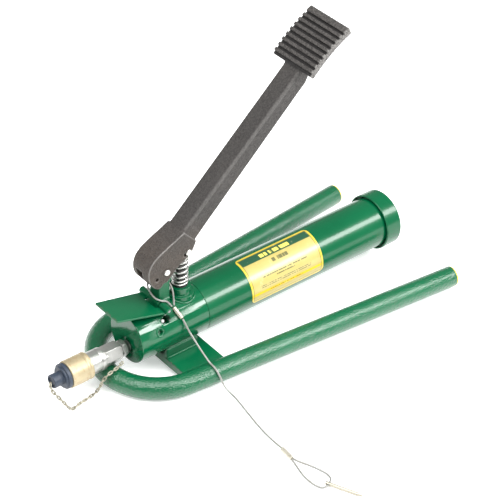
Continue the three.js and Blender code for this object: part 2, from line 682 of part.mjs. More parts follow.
function releaseRod() {
  const profile = [
    [60, 0], [60, 3], [99.5, 3], [99.5, 5.5], [101.3, 5.5], [101.3, 3], [103.3, 3], [104.5, 2], [105, 0],
  ];
  return turnedZ(profile, RELEASE_ROD_X, 0, 16);
}

function buildRelease(group) {
  add(group, 'release_pedal', releasePedal(), greenPaint);
  add(group, 'release_hinge_pin', barY(-31.5, 31.5, HINGE_X, HINGE_Z, 2.2, 16), plainSteel);
  add(group, 'release_rod', releaseRod(), plainSteel);
  const spring = coil(4.8, 0.5, 84.3, 99.2, 5, 8, 4);
  add(group, 'release_spring', spring.translate(RELEASE_ROD_X, 0, 0), plainSteel);
}

// ---- outlet coupler -----------------------------------------------------------------------
function outletAdapter() {
  const shank = [[-26, 4], [-26, 9], [-9, 9], [-9, 6.9], [14, 6.9], [14, 4]];
  const bore = barX(-30, 20, 0, PORT_Z, 4, 16);
  return joinAndCut([turnedX(shank, 0, PORT_Z, 24, true), hexagonX(-13.5, -4.5, PORT_Z, 22.2)], [bore]);
}

function couplerBody() {
  const hexagon = hexagonX(-43, -16, PORT_Z, 27);
  const outside = [
    [-101.5, 0], [-101.5, 14.5], [-67, 14.5], [-67, 16.2], [-44, 16.2], [-42.5, 13.6], [-30, 13], [-30, 0],
  ];
  const barrel = turnedX(outside, 0, PORT_Z);
  const cuts = [
    barX(-27, -15, 0, PORT_Z, 9.3),
    barX(-47, -20, 0, PORT_Z, 4, 16),
    barX(-102, -46, 0, PORT_Z, 9.6),
  ];
  return joinAndCut([hexagon, barrel], cuts);
}

function dustCap() {
  const outside = [
    [-126, 0], [-126, 9.2], [-125.2, 10], [-111, 10], [-111, 15.4], [-110.4, 16], [-108, 16], [-108, 18.5],
    [-102.6, 18.5], [-102.6, 9.2], [-89, 9.2], [-88, 8.2], [-88, 0],
  ];
  return joinAndCut([turnedX(outside, 0, PORT_Z, 20)], [barX(-128, -123.5, 0, PORT_Z, 7.6)]);
}

function chainAnchor() {
  const section = [];
  for (let i = 0; i < 6; i += 1) {
    const angle = (-i * Math.PI) / 3;
    section.push([-14.75 + 0.8 * Math.sin(angle), 10.9 + 0.8 * Math.cos(angle)]);
  }
  return turnedX(section, 0, PORT_Z, 18, true);
}

const CHAIN_ROUTE = [
  [-124.6, 0, 45], [-128.5, -1.5, 44], [-130, -6, 39], [-126, -13, 30], [-119, -19.5, 18], [-113, -22, 8],
  [-106, -21, 3], [-92, -17.5, 2.6], [-76, -15.5, 2.6], [-66, -16, 6], [-59.5, -19, 17], [-55, -21.5, 28],
  [-46, -22.5, 34.6], [-32, -20.5, 36.5], [-18.5, -17, 38.5],
];

function buildCoupler(group) {
  add(group, 'outlet_adapter', outletAdapter(), brightSteel);
  add(group, 'coupler_body', couplerBody(), brightSteel);
  const collar = [[-102, 14.9], [-102, 19], [-101.2, 19.8], [-68, 19.8], [-67.3, 19], [-67.3, 14.9]];
  add(group, 'coupler_sleeve', turnedX(collar, 0, PORT_Z, 24, true), yellowZinc);
  const poppet = [[-86, 0], [-84, 3.5], [-80, 6.5], [-72, 6.5], [-72, 3], [-62, 3], [-62, 0]];
  add(group, 'coupler_poppet', turnedX(poppet, 0, PORT_Z, 16), plainSteel);
  const springStart = vec(-71.7, 0, PORT_Z);
  add(group, 'poppet_spring', coilBetween(springStart, vec(-46.4, 0, PORT_Z), 6, 0.7, 6), plainSteel);
  add(group, 'dust_cap', dustCap(), blueRubber);
  add(group, 'chain_anchor', chainAnchor(), brightSteel);
  add(group, 'keeper_chain', wire(CHAIN_ROUTE, CHAIN_R, 34, 6), brightSteel);
}

// ---- lanyard and lock pin -----------------------------------------------------------------
const POST_LOOP_ROUTE = [
  [62.6, -20, 98.3], [60.5, -18.6, 102], [56, -16.3, 108], [48.5, -14.6, 111.5], [43, -8.5, 114.5], [42.4, 2, 118.5],
  [43.4, 9.5, 123.5], [48, 14.4, 127.5], [56, 15.6, 130], [65, 14.6, 130], [70.4, 8.6, 128], [71.8, -1, 124],
  [71.6, -9, 117], [69, -15.5, 106], [66.4, -20, 98.3],
];
const CABLE_ROUTE = [
  [69.4, -36, 83], [71, -39.5, 76.5], [73.5, -45, 65.5], [75.5, -55, 55], [76.5, -66, 46.5], [77, -78, 39.5],
  [77.3, -88, 34.6], [77.8, -97, 32.6], [78.5, -104, 27.5], [80, -108.5, 20.5], [81.5, -111.5, 12.5],
  [83, -116, 6], [84.3, -124, 2.4], [84, -136, 1.7], [80, -160, 1.7], [75.6, -184, 1.7], [71.6, -210, 1.7],
  [69.8, -230, 1.9], [68.7, -254.4, 3],
];
const END_LOOP_ROUTE = [
  [67.9, -279.6, 2.9], [71, -288, 2.4], [77.5, -301, 1.7], [82.5, -315, 1.7], [84.8, -327, 2], [83.2, -336.2, 2.6],
  [78.9, -341.2, 2.9], [73.9, -343.5, 2.9], [68.9, -345.8, 2.9], [62.8, -343.6, 2.5], [59, -335, 2],
  [57.8, -322, 1.7], [59.4, -306, 1.7], [62.8, -291, 2.4],
  [64.9, -279.6, 2.9],
];
const LOCK_PIN = { head: [71.8, -339, 2.9], tip: [94.4, -388, 2.7] };

function lockPin() {
  const head = vec(...LOCK_PIN.head);
  const tip = vec(...LOCK_PIN.tip);
  const run = tip.clone().sub(head);
  const length = run.length();
  const profile = [[0, 0], [0.6, 2.2], [1.6, LOCK_PIN_R], [length - 7, LOCK_PIN_R], [length, 0.9], [length, 0]];
  const direction = run.normalize();
  const across = Z.clone().cross(direction).normalize();
  const upward = direction.clone().cross(across);
  const pin = along(turned(profile, 16), across, direction, upward.negate(), head);
  const eye = head.clone().addScaledVector(direction, 5);
  const eyeFrom = eye.clone().addScaledVector(across, -6);
  const eyeTo = eye.clone().addScaledVector(across, 6);
  return joinAndCut([pin], [bar(eyeFrom, eyeTo, WIRE_R + 0.45, 12)]);
}

function buildLanyard(group) {
  add(group, 'lanyard_post_loop', wire(POST_LOOP_ROUTE, WIRE_R, 26), coatedWire);
  const upper = bar(radial(64.6, 59.7, 42.4), radial(69, 34, 42.4), 3.1, 16);
  add(group, 'lanyard_ferrule_upper', upper, coatedWire);
  add(group, 'lanyard_cable', wire(CABLE_ROUTE, WIRE_R, 44), coatedWire);
  const lower = bar(vec(68.6, -255, 3.2), vec(66.6, -278.5, 3.2), 3.1, 16);
  add(group, 'lanyard_ferrule_lower', lower, coatedWire);
  add(group, 'lanyard_pin_loop', wire(END_LOOP_ROUTE, WIRE_R, 30), coatedWire);
  add(group, 'lock_pin', lockPin(), brightSteel);
}

// ---- assembly -----------------------------------------------------------------------------
const pump = new THREE.Group();
buildFrame(pump);
buildBlock(pump);
buildReservoir(pump);
buildPlunger(pump);
buildPost(pump);
buildPedal(pump);
buildRelease(pump);
buildCoupler(pump);

const lanyard = new THREE.Group();
buildLanyard(lanyard);

const group = new THREE.Group();
group.add(pump, lanyard);

// Origin on the floor, in the middle of the pump's own footprint without the lanyard.
const extent = new THREE.Box3().setFromObject(pump, true);
group.position.x = -(extent.min.x + extent.max.x) / 2;

export default group;
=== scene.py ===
import math
import bmesh
import bpy
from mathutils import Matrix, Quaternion, Vector


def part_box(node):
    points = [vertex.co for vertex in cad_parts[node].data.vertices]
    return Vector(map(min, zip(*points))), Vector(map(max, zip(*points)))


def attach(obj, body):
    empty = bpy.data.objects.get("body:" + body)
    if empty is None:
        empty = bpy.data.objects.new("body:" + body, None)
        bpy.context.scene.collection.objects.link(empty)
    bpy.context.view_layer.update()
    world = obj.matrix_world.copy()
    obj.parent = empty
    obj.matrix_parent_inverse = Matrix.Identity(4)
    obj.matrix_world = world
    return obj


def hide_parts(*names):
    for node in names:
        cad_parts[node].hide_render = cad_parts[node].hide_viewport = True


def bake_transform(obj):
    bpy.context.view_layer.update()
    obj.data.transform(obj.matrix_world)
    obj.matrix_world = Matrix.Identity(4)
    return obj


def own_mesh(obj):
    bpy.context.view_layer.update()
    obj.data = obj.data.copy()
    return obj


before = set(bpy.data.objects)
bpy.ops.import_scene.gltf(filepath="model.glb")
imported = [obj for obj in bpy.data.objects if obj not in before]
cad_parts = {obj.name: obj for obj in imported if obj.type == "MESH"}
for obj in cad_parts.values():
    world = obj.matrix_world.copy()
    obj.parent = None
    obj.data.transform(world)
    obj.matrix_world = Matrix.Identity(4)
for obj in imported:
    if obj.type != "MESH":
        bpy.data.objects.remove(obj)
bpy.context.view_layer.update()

# ---- camera and studio ----
# The pump stands on a plain pale floor and is seen from its front left corner, from above.
# A tall softbox at the right gives the long highlight on the reservoir; two others fill in.
CAMERA_AIM = Vector((0.04287, 0.01355, 0.1))
CAMERA_DISTANCE = 2.6504
CAMERA_AZIMUTH = math.radians(-40.4285)
CAMERA_ELEVATION = math.radians(36.9206)
CAMERA_ROLL = math.radians(2.0226)
CAMERA_LENS = 132.92
FLOOR_HALF = 6.0
FLOOR_Z = -0.0002
WORLD_STRENGTH = 0.36


def direction(azimuth, elevation):
    """Unit vector towards that side: azimuth 0 is -Y and 90 degrees is +X."""
    level = math.cos(elevation)
    return Vector((math.sin(azimuth) * level, -math.cos(azimuth) * level, math.sin(elevation)))


def aimed(data, name, place, aim, roll=0.0):
    """A camera or a light at a place, pointing at another."""
    thing = bpy.data.objects.new(name, data)
    thing.location = place
    thing.rotation_mode = "QUATERNION"
    look = (aim - place).to_track_quat("-Z", "Y")
    thing.rotation_quaternion = look @ Quaternion((0, 0, 1), roll)
    bpy.context.scene.collection.objects.link(thing)
    return thing


camera_data = bpy.data.cameras.new("camera")
camera_data.lens = CAMERA_LENS
camera_data.sensor_width = 36.0
camera_place = CAMERA_AIM + CAMERA_DISTANCE * direction(CAMERA_AZIMUTH, CAMERA_ELEVATION)
bpy.context.scene.camera = aimed(camera_data, "camera", camera_place, CAMERA_AIM, CAMERA_ROLL)
bpy.context.scene.view_settings.view_transform = "Standard"


def softbox(name, azimuth, elevation, distance, width, height, power):
    """A rectangular light that faces the middle of the pump."""
    data = bpy.data.lights.new(name, "AREA")
    data.shape = "RECTANGLE"
    data.size = width
    data.size_y = height
    data.energy = power
    place = distance * direction(math.radians(azimuth), math.radians(elevation))
    return aimed(data, name, place, Vector((0, 0, 0.1)))


lights = [
    softbox("softbox_right", 38, 38, 2.2, 1.7, 0.5, 56),
    softbox("softbox_above", -30, 74, 2.4, 2.6, 1.8, 84),
    softbox("softbox_left", -95, 48, 2.6, 1.4, 1.0, 24),
]
world = bpy.data.worlds.new("studio")
world.use_nodes = True
background = world.node_tree.nodes["Background"].inputs
background["Color"].default_value = (1.0, 1.0, 1.0, 1.0)
background["Strength"].default_value = WORLD_STRENGTH
bpy.context.scene.world = world


class Value:
    """One output of a finish's nodes. Arithmetic on it adds Math nodes."""

    def __init__(self, finish, socket):
        self.finish = finish
        self.socket = socket

    def math(self, operation, first, second=0.0):
        return self.finish.node("ShaderNodeMath", {"operation": operation}, {0: first, 1: second})

    def __add__(self, other):
        return self.math("ADD", self, other)

    def __sub__(self, other):
        return self.math("SUBTRACT", self, other)

    def __rsub__(self, other):
        return self.math("SUBTRACT", other, self)

    def __mul__(self, other):
        return self.math("MULTIPLY", self, other)

    __radd__ = __add__
    __rmul__ = __mul__

    def __abs__(self):
        return self.math("ABSOLUTE", self)

    def least(self, other):
        return self.math("MINIMUM", self, other)

    def most(self, other):
        return self.math("MAXIMUM", self, other)

    def above(self, edge, blur):
        """1 where the value is above edge and 0 below it, turning smoothly over blur each side."""
        ends = {"Value": self, "From Min": edge - blur, "From Max": edge + blur}
        return self.finish.node("ShaderNodeMapRange", {"interpolation_type": "SMOOTHSTEP"}, ends)


class Finish:
    """A material built round its Principled shader, in object coordinates: metres in the frame.

    Its slot is the frame's name for what it is made of, the same as its own unless given.
    """

    def __init__(self, name, constants, slot=None):
        self.slot = slot or name
        self.material = bpy.data.materials.new(name)
        self.material.use_nodes = True
        self.tree = self.material.node_tree
        self.shader = self.tree.nodes["Principled BSDF"]
        for socket, value in constants.items():
            self.shader.inputs[socket].default_value = value
        self.place = self.node("ShaderNodeTexCoord", output="Object")

    def node(self, kind, settings=None, inputs=None, output=0):
        """Adds a node: its settings first, then its sockets."""
        node = self.tree.nodes.new(kind)
        for name, value in (settings or {}).items():
            setattr(node, name, value)
        for socket, value in (inputs or {}).items():
            self.feed(node.inputs[socket], value)
        return Value(self, node.outputs[output])

    def feed(self, socket, value):
        if isinstance(value, Value):
            self.tree.links.new(value.socket, socket)
        else:
            socket.default_value = value

    def set(self, socket, value):
        self.feed(self.shader.inputs[socket], value)

    def stretched(self, by):
        """The object coordinates with each axis scaled."""
        return self.node("ShaderNodeVectorMath", {"operation": "MULTIPLY"}, {0: self.place, 1: by})

    def noise(self, scale, detail=2.0, roughness=0.5, place=None):
        """Noise from 0 to 1; scale is in cells per metre, or per unit of a stretched place."""
        inputs = {"Scale": scale, "Detail": detail, "Roughness": roughness}
        return self.node("ShaderNodeTexNoise", None, {"Vector": place or self.place, **inputs})

    def axis(self, name):
        """One of the object coordinates, in metres."""
        return self.node("ShaderNodeSeparateXYZ", None, {0: self.place}, output="XYZ".index(name))

    def mix(self, factor, first, second):
        """The first colour where factor is 0, the second where it is 1."""
        return self.node("ShaderNodeMix", {"data_type": "RGBA"}, {0: factor, 6: first, 7: second}, 2)

    def bump(self, height, depth, strength=1.0):
        """Sets the surface's relief; depth is in metres for a height of 1."""
        inputs = {"Height": height, "Distance": depth, "Strength": strength}
        self.set("Normal", self.node("ShaderNodeBump", None, inputs))


def srgb(red, green, blue):
    """A colour given as 0 to 255, in the shader's linear values."""

    def linear(part):
        share = part / 255
        return share / 12.92 if share < 0.04 else ((share + 0.055) / 1.055) ** 2.4

    return (linear(red), linear(green), linear(blue), 1.0)


def floor_paper():
    paper = Finish("floor_paper", {"Specular IOR Level": 0.1, "Emission Strength": 0.45})
    shade = paper.noise(3.0, 3.0)
    paper.set("Base Color", paper.mix(shade, (0.86, 0.86, 0.86, 1), (0.9, 0.9, 0.9, 1)))
    paper.set("Emission Color", paper.mix(shade, (0.94, 0.94, 0.94, 1), (1.0, 1.0, 1.0, 1)))
    paper.set("Roughness", 0.8 + 0.1 * shade)
    return paper


floor_mesh = bpy.data.meshes.new("floor")
floor_corners = [(-1, -1), (1, -1), (1, 1), (-1, 1)]
floor_points = [(x * FLOOR_HALF, y * FLOOR_HALF, FLOOR_Z) for x, y in floor_corners]
floor_mesh.from_pydata(floor_points, [], [(0, 1, 2, 3)])
floor_mesh.materials.append(floor_paper().material)
studio_floor = bpy.data.objects.new("floor", floor_mesh)
bpy.context.scene.collection.objects.link(studio_floor)

# ---- lanyard cable ----
# A thin plastic-coated steel cable looped round the pedal's post, let down over the frame and
# along the floor to a loop that carries the lock pin. Each loop is closed by a crimped ferrule.
MM = 0.001
FRONT_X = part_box("pump_block")[0].x  # lengths below are in mm from the pump block's front face
BODY_R = 38.1  # radius of the pump block and reservoir, and the height of their axis
BODY_Z = 60.3
WIRE_R = 1.4
WIRE_STRANDS = 7
WIRE_LAY = 22  # length over which a strand goes once round
FERRULE_R = 3.1

POST_LOOP_ROUTE = [
    (62.6, -20, 98.3), (60.5, -18.6, 102), (56, -16.3, 108), (48.5, -14.6, 111.5),
    (43, -8.5, 114.5), (42.4, 2, 118.5), (43.4, 9.5, 123.5), (48, 14.4, 127.5), (56, 15.6, 130),
    (65, 14.6, 130), (70.4, 8.6, 128), (71.8, -1, 124), (71.6, -9, 117), (69, -15.5, 106),
    (66.4, -20, 98.3),
]
CABLE_ROUTE = [
    (69.4, -36, 83), (71, -39.5, 76.5), (73.5, -45, 65.5), (75.5, -55, 55), (76.5, -66, 46.5),
    (77, -78, 39.5), (77.3, -88, 34.6), (77.8, -97, 32.6), (78.5, -104, 27.5), (80, -108.5, 20.5),
    (81.5, -111.5, 12.5), (83, -116, 6), (84.3, -124, 2.4), (84, -136, 1.7), (80, -160, 1.7),
    (75.6, -184, 1.7), (71.6, -210, 1.7), (69.8, -230, 1.9), (68.7, -254.4, 3),
]
PIN_LOOP_ROUTE = [
    (67.9, -279.6, 2.9), (71, -288, 2.4), (77.5, -301, 1.7), (82.5, -315, 1.7), (84.8, -327, 2),
    (83.2, -336.2, 2.6), (78.9, -341.2, 2.9), (73.9, -343.5, 2.9), (68.9, -345.8, 2.9),
    (62.8, -343.6, 2.5), (59, -335, 2), (57.8, -322, 1.7), (59.4, -306, 1.7), (62.8, -291, 2.4),
    (64.9, -279.6, 2.9),
]


def metres(point):
    """A point in millimetres from the block's front face, in the row frame."""
    return Vector((FRONT_X + point[0] * MM, point[1] * MM, point[2] * MM))


def route(points, steps):
    """A smooth line through points, with that many steps between each two of them."""
    knots = [Vector(point) for point in points]
    knots.insert(0, 2 * knots[0] - knots[1])
    knots.append(2 * knots[-1] - knots[-2])
    line = []
    for a, b, c, d in zip(knots, knots[1:], knots[2:], knots[3:]):
        ta = 0.0
        tb = ta + (b - a).length ** 0.5
        tc = tb + (c - b).length ** 0.5
        td = tc + (d - c).length ** 0.5
        for step in range(steps):
            t = tb + (tc - tb) * step / steps
            ab = a.lerp(b, (t - ta) / (tb - ta))
            bc = b.lerp(c, (t - tb) / (tc - tb))
            cd = c.lerp(d, (t - tc) / (td - tc))
            abc = ab.lerp(bc, (t - ta) / (tc - ta))
            bcd = bc.lerp(cd, (t - tb) / (td - tb))
            line.append(abc.lerp(bcd, (t - tb) / (tc - tb)))
    line.append(knots[-2])
    return line


def length_of(line):
    """Length of a line in metres."""
    return sum((b - a).length for a, b in zip(line, line[1:])) * MM


def edited(mesh, edit):
    """Changes a mesh's own points and faces."""
    work = bmesh.new()
    work.from_mesh(mesh)
    edit(work)
    work.to_mesh(mesh)
    work.free()


def closed_up(work):
    bmesh.ops.remove_doubles(work, verts=work.verts, dist=0.001 * MM)
    faced_out(work)


def faced_out(work):
    bmesh.ops.recalc_face_normals(work, faces=work.faces)


def shown(name, mesh):
    piece = bpy.data.objects.new(name, mesh)
    bpy.context.scene.collection.objects.link(piece)
    return piece


def solid(name, points, faces):
    """A mesh object from points in mm; points that meet are joined and the faces point out."""
    mesh = bpy.data.meshes.new(name)
    mesh.from_pydata([metres(point) for point in points], [], faces)
    edited(mesh, closed_up)
    return shown(name, mesh)


def circle(sides):
    """The angles of points spaced evenly round a ring."""
    return [2 * math.pi * k / sides for k in range(sides)]


def strips(rings, sides, closed):
    """The faces between each ring of points and the next."""
    faces = []
    for i in range(rings if closed else rings - 1):
        here, there = i * sides, (i + 1) % rings * sides
        for k in range(sides):
            n = (k + 1) % sides
            faces.append((here + k, here + n, there + n, there + k))
    return faces


def sweep(name, line, radius, sides=20, closed=False):
    """A round bar along a line; radius is a number, or a function of the share run and angle."""
    reach = radius if callable(radius) else (lambda share, angle: radius)
    last = len(line) - 1
    points = []
    side = (line[1] - line[0]).orthogonal()
    for i, centre in enumerate(line):
        ahead = line[(i + 1) % len(line)] if closed or i < last else line[i]
        behind = line[i - 1] if closed or i > 0 else line[i]
        tangent = (ahead - behind).normalized()
        side = (side - tangent * side.dot(tangent)).normalized()
        up = tangent.cross(side)
        for angle in circle(sides):
            out = math.cos(angle) * side + math.sin(angle) * up
            points.append(centre + reach(i / last, angle) * out)
    faces = strips(len(line), sides, closed)
    if not closed:
        faces.append(tuple(range(sides)))
        faces.append(tuple(range(last * sides, (last + 1) * sides)))
    return solid(name, points, faces)


def finished(piece, finish, sharp=35):
    """Gives a piece its material and smooth shading up to that edge angle."""
    piece.data.materials.clear()
    piece.data.materials.append(finish.material)
    piece.data.shade_smooth()
    piece.data.set_sharp_from_angle(angle=math.radians(sharp))
    if not piece.modifiers:
        piece.modifiers.new("even_shading", "WEIGHTED_NORMAL")
    return piece


def fit(piece, finish, *nodes, body="pump_body", sharp=35):
    """Finishes a piece and puts it on its body in place of the frame's plain solids."""
    finished(piece, finish, sharp)
    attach(piece, body)
    if nodes:
        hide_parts(*nodes)
    return piece


def coated_wire():
    wire = Finish("coated_wire", {"Coat Weight": 0.3, "Coat Roughness": 0.15})
    dust = wire.noise(180, 4.0, 0.6)
    grime = wire.noise(60, 3.0).above(0.56, 0.1)
    plastic = wire.mix(dust, srgb(120, 120, 116), srgb(158, 158, 154))
    wire.set("Base Color", wire.mix(grime * 0.45, plastic, srgb(122, 118, 108)))
    wire.set("Roughness", 0.32 + 0.2 * dust)
    wire.set("Metallic", 0.45 - 0.3 * grime)
    wire.bump(wire.noise(2600, 2.0), 0.00005)
    return wire


def pale_zinc():
    zinc = Finish("pale_zinc", {"Coat Weight": 0.15}, "coated_wire")
    cloud = zinc.noise(240, 4.0, 0.6)
    mark = zinc.noise(900, 2.0).above(0.6, 0.06)
    plated = zinc.mix(cloud, srgb(166, 160, 142), srgb(200, 196, 184))
    zinc.set("Base Color", zinc.mix(mark * 0.4, plated, srgb(150, 140, 120)))
    zinc.set("Roughness", 0.3 + 0.25 * cloud)
    zinc.set("Metallic", 0.8 - 0.2 * cloud)
    zinc.bump(zinc.noise(1500, 3.0), 0.00006)
    return zinc


def stranded(line):
    """The wire's radius: the coating follows the strands laid round each other."""
    turns = length_of(line) / (WIRE_LAY * MM)

    def radius(share, angle):
        ridge = math.cos(WIRE_STRANDS * (angle - 2 * math.pi * turns * share))
        return WIRE_R * (0.965 + 0.035 * ridge)

    return radius


def crimped(name, start, end, dents):
    """A ferrule squeezed flat in a few places along its length."""
    line = route([start, end], 48)

    def radius(share, angle):
        rim = 1 - 0.35 * max(0.0, (abs(share - 0.5) - 0.45) / 0.05) ** 2
        dent = 0.5 - 0.5 * math.cos(2 * math.pi * dents * share)
        return FERRULE_R * (rim - 0.08 * dent * abs(math.cos(angle)))

    return sweep(name, line, radius, sides=32)


def radial(x, degrees, distance):
    """A point off the body's axis; 0 degrees is towards -Y and 90 is up."""
    angle = math.radians(degrees)
    return Vector((x, -distance * math.cos(angle), BODY_Z + distance * math.sin(angle)))


lanyard = []
wire_finish = coated_wire()
for name, points, steps, node in (
    ("wire_round_post", POST_LOOP_ROUTE, 14, "lanyard_post_loop"),
    ("wire_to_pin", CABLE_ROUTE, 20, "lanyard_cable"),
    ("wire_pin_loop", PIN_LOOP_ROUTE, 14, "lanyard_pin_loop"),
):
    line = route(points, steps)
    wire = sweep(name, line, stranded(line), sides=4 * WIRE_STRANDS)
    lanyard.append((fit(wire, wire_finish, node, sharp=60), points, line))
zinc_finish = pale_zinc()
upper_ferrule = crimped("ferrule_at_post", radial(64.6, 59.7, 42.4), radial(69, 34, 42.4), 3)
lower_ferrule = crimped("ferrule_at_pin", (68.6, -255, 3.2), (66.6, -278.5, 3.2), 3)
fit(upper_ferrule, zinc_finish, "lanyard_ferrule_upper")
fit(lower_ferrule, zinc_finish, "lanyard_ferrule_lower")

# ---- lock pin ----
# A turned steel pin with a drilled eye at its head and a pointed tip. Pushed through the pedal's
# ear it holds the pedal down for carrying; here it lies on the floor at the lanyard's end.
PIN_HEAD = Vector((71.8, -339, 2.9))
PIN_TIP = Vector((94.4, -388, 2.7))
PIN_R = 2.6
PIN_EYE_AT = 5
PIN_EYE_R = WIRE_R + 0.45
PIN_POINT = 7


def eased(outline, size, closed=False, steps=4):
    """An outline with each of its corners rounded over that size."""
    corners = [Vector(corner) for corner in outline]
    points = []
    for i, corner in enumerate(corners):
        if not closed and i in (0, len(corners) - 1):
            points.append(corner)
            continue
        back = corners[i - 1] - corner
        ahead = corners[(i + 1) % len(corners)] - corner
        reach = min(size, 0.45 * back.length, 0.45 * ahead.length)
        start = corner + reach * back.normalized()
        end = corner + reach * ahead.normalized()
        for step in range(steps + 1):
            t = step / steps
            points.append(start.lerp(corner, t).lerp(corner.lerp(end, t), t))
    return points


def turned(name, profile, origin, towards, edge=0.0, sides=72):
    """A turned piece: profile is (distance from origin, radius) along the direction towards.

    A profile that starts off the axis is the section of a ring.
    """
    closed = profile[0][1] > 0
    outline = eased(profile, edge, closed) if edge else [Vector(corner) for corner in profile]
    axis = Vector(towards).normalized()
    side = axis.orthogonal().normalized()
    up = axis.cross(side)
    points = []
    for along, radius in outline:
        for angle in circle(sides):
            out = math.cos(angle) * side + math.sin(angle) * up
            points.append(Vector(origin) + along * axis + radius * out)
    return solid(name, points, strips(len(outline), sides, closed))


def settled(piece):
    """Makes the piece's modifiers part of its mesh."""
    graph = bpy.context.evaluated_depsgraph_get()
    mesh = bpy.data.meshes.new_from_object(piece.evaluated_get(graph))
    piece.modifiers.clear()
    piece.data = mesh
    return piece


def worked(piece, operation, *tools):
    """Cuts the tools out of a piece or joins them to it."""
    for tool in tools:
        step = piece.modifiers.new("work", "BOOLEAN")
        step.operation = operation
        step.object = tool
        step.solver = "EXACT"
    settled(piece)
    for tool in tools:
        bpy.data.objects.remove(tool)
    return piece


def plain(low, high, outer, inner=0):
    """The profile of a plain bar, or of a plain ring if it has an inner radius."""
    return [(low, inner), (low, outer), (high, outer), (high, inner)]


def drill(start, end, radius, sides=48):
    """A round tool between two points, for cutting a bore."""
    run = Vector(end) - Vector(start)
    return turned("drill", plain(0, run.length, radius), start, run, sides=sides)


def metal(name, dark, light, roughness, grain, relief=0.00002, slot="bright_steel"):
    """Plated or plain metal with fine tool marks; grain is how closely they lie along each axis."""
    finish = Finish(name, {}, slot)
    marks = finish.noise(1.0, 2.0, 0.6, finish.stretched(grain))
    cloud = finish.noise(70, 4.0, 0.6)
    stain = finish.noise(120, 4.0, 0.6).above(0.68, 0.1)
    clean = finish.mix(0.5 * marks + 0.5 * cloud, dark, light)
    finish.set("Base Color", finish.mix(stain * 0.3, clean, srgb(120, 108, 92)))
    finish.set("Roughness", roughness + 0.14 * (cloud - 0.5) + 0.1 * (marks - 0.5) + 0.15 * stain)
    finish.set("Metallic", 0.82 - 0.3 * stain)
    finish.bump(marks, relief)
    return finish


pin_run = PIN_TIP - PIN_HEAD
pin_side = Vector((0, 0, 1)).cross(pin_run).normalized()
pin_eye = PIN_HEAD + PIN_EYE_AT * pin_run.normalized()
pin_profile = [
    (0, 0), (0.6, 2.2), (1.6, PIN_R), (pin_run.length - PIN_POINT, PIN_R), (pin_run.length, 0.9),
    (pin_run.length, 0),
]
lock_pin = turned("pedal_lock_pin", pin_profile, PIN_HEAD, pin_run, edge=0.5, sides=48)
worked(lock_pin, "DIFFERENCE", drill(pin_eye - 6 * pin_side, pin_eye + 6 * pin_side, PIN_EYE_R))
pin_steel = metal("pin_steel", srgb(150, 144, 128), srgb(196, 192, 178), 0.36, (900, 900, 900))
fit(lock_pin, pin_steel, "lock_pin")

for (wire, points, line), end_piece in zip(lanyard, (upper_ferrule, lower_ferrule, lock_pin)):
    metres(points[0])
    length_of(line)
    [metres(point) for point in line]

# ---- frame tube ----
# One length of steel tube bent to a U that the pump stands on, its legs opening towards the
# back. It is sprayed with thick green enamel, which has dried with a fine orange-peel surface.
TUBE_R = 15.875
TUBE_BORE = 13
BEND_R = 87.2
BEND_X = 53
SPLAY = math.radians(5.7)
SIDES = ((1, "left"), (-1, "right"))
LEG_END_X = 500
GREEN_DARK = srgb(0, 74, 44)
GREEN_LIGHT = srgb(0, 92, 56)


def leg_point(side, x):
    """A point on a leg's centreline; side is 1 for the +Y leg and -1 for the other."""
    tangent_x = BEND_X - BEND_R * math.sin(SPLAY)
    y = BEND_R * math.cos(SPLAY) + (x - tangent_x) * math.tan(SPLAY)
    return Vector((x, side * y, TUBE_R))


def enamel(name, peel, peel_depth, roughness, worn=(), gloss=0.15, specular=0.3):
    """Green enamel; worn is a list of (axis, place, reach) in mm where it is rubbed at an edge."""
    constants = {"Coat Weight": gloss, "Coat Roughness": 0.06, "Specular IOR Level": specular}
    paint = Finish(name, constants, "green_paint")
    cloud = paint.noise(14, 3.0)
    fine = paint.noise(peel, 2.0, 0.5)
    speck = paint.noise(520, 2.0, 0.6).above(0.7, 0.03)
    colour = paint.mix(cloud, GREEN_DARK, GREEN_LIGHT)
    colour = paint.mix(speck * 0.2, colour, srgb(40, 130, 96))
    rubbed = paint.noise(7, 2.0).above(0.68, 0.06) * paint.noise(700, 3.0, 0.7).above(0.62, 0.05)
    for axis, place, reach in worn:
        origin = FRONT_X if axis == "X" else 0.0
        near = 1 - abs(paint.axis(axis) - (origin + place * MM)).above(reach * MM, 0.5 * reach * MM)
        rubbed = rubbed.most(near * paint.noise(330, 4.0, 0.7).above(0.56, 0.05))
    paint.set("Base Color", paint.mix(rubbed * 0.85, colour, srgb(96, 92, 84)))
    paint.set("Roughness", roughness + 0.12 * (cloud - 0.5) + 0.3 * rubbed)
    paint.set("Metallic", 0.4 * rubbed)
    paint.bump(fine, peel_depth)
    return paint


def tube_line():
    """Centreline of the bent tube: one leg in, round the front, the other leg out."""
    steps = 72
    line = [leg_point(1, LEG_END_X)]
    for step in range(steps + 1):
        angle = math.pi / 2 + SPLAY + step / steps * (math.pi - 2 * SPLAY)
        line.append(Vector((BEND_X + BEND_R * math.cos(angle), BEND_R * math.sin(angle), TUBE_R)))
    line.append(leg_point(-1, LEG_END_X))
    return line


def leg_direction(side):
    return Vector((math.cos(SPLAY), side * math.sin(SPLAY), 0))


bent_tube = sweep("bent_tube", tube_line(), TUBE_R, sides=64)
bores = []
for side in (1, -1):
    end = leg_point(side, LEG_END_X)
    bores.append(drill(end - 60 * leg_direction(side), end + 5 * leg_direction(side), TUBE_BORE))
worked(bent_tube, "DIFFERENCE", *bores)
tube_enamel = enamel("tube_enamel", 380, 0.0012, 0.15, [("Z", 0, 1.2)], gloss=0.08, specular=0.6)
fit(bent_tube, tube_enamel, "frame_tube")

# ---- end plugs ----
# Moulded yellow plastic plugs pushed into the open ends of the legs, with a flange that
# covers the tube's cut edge.
PLUG_FLANGE_R = 15.2


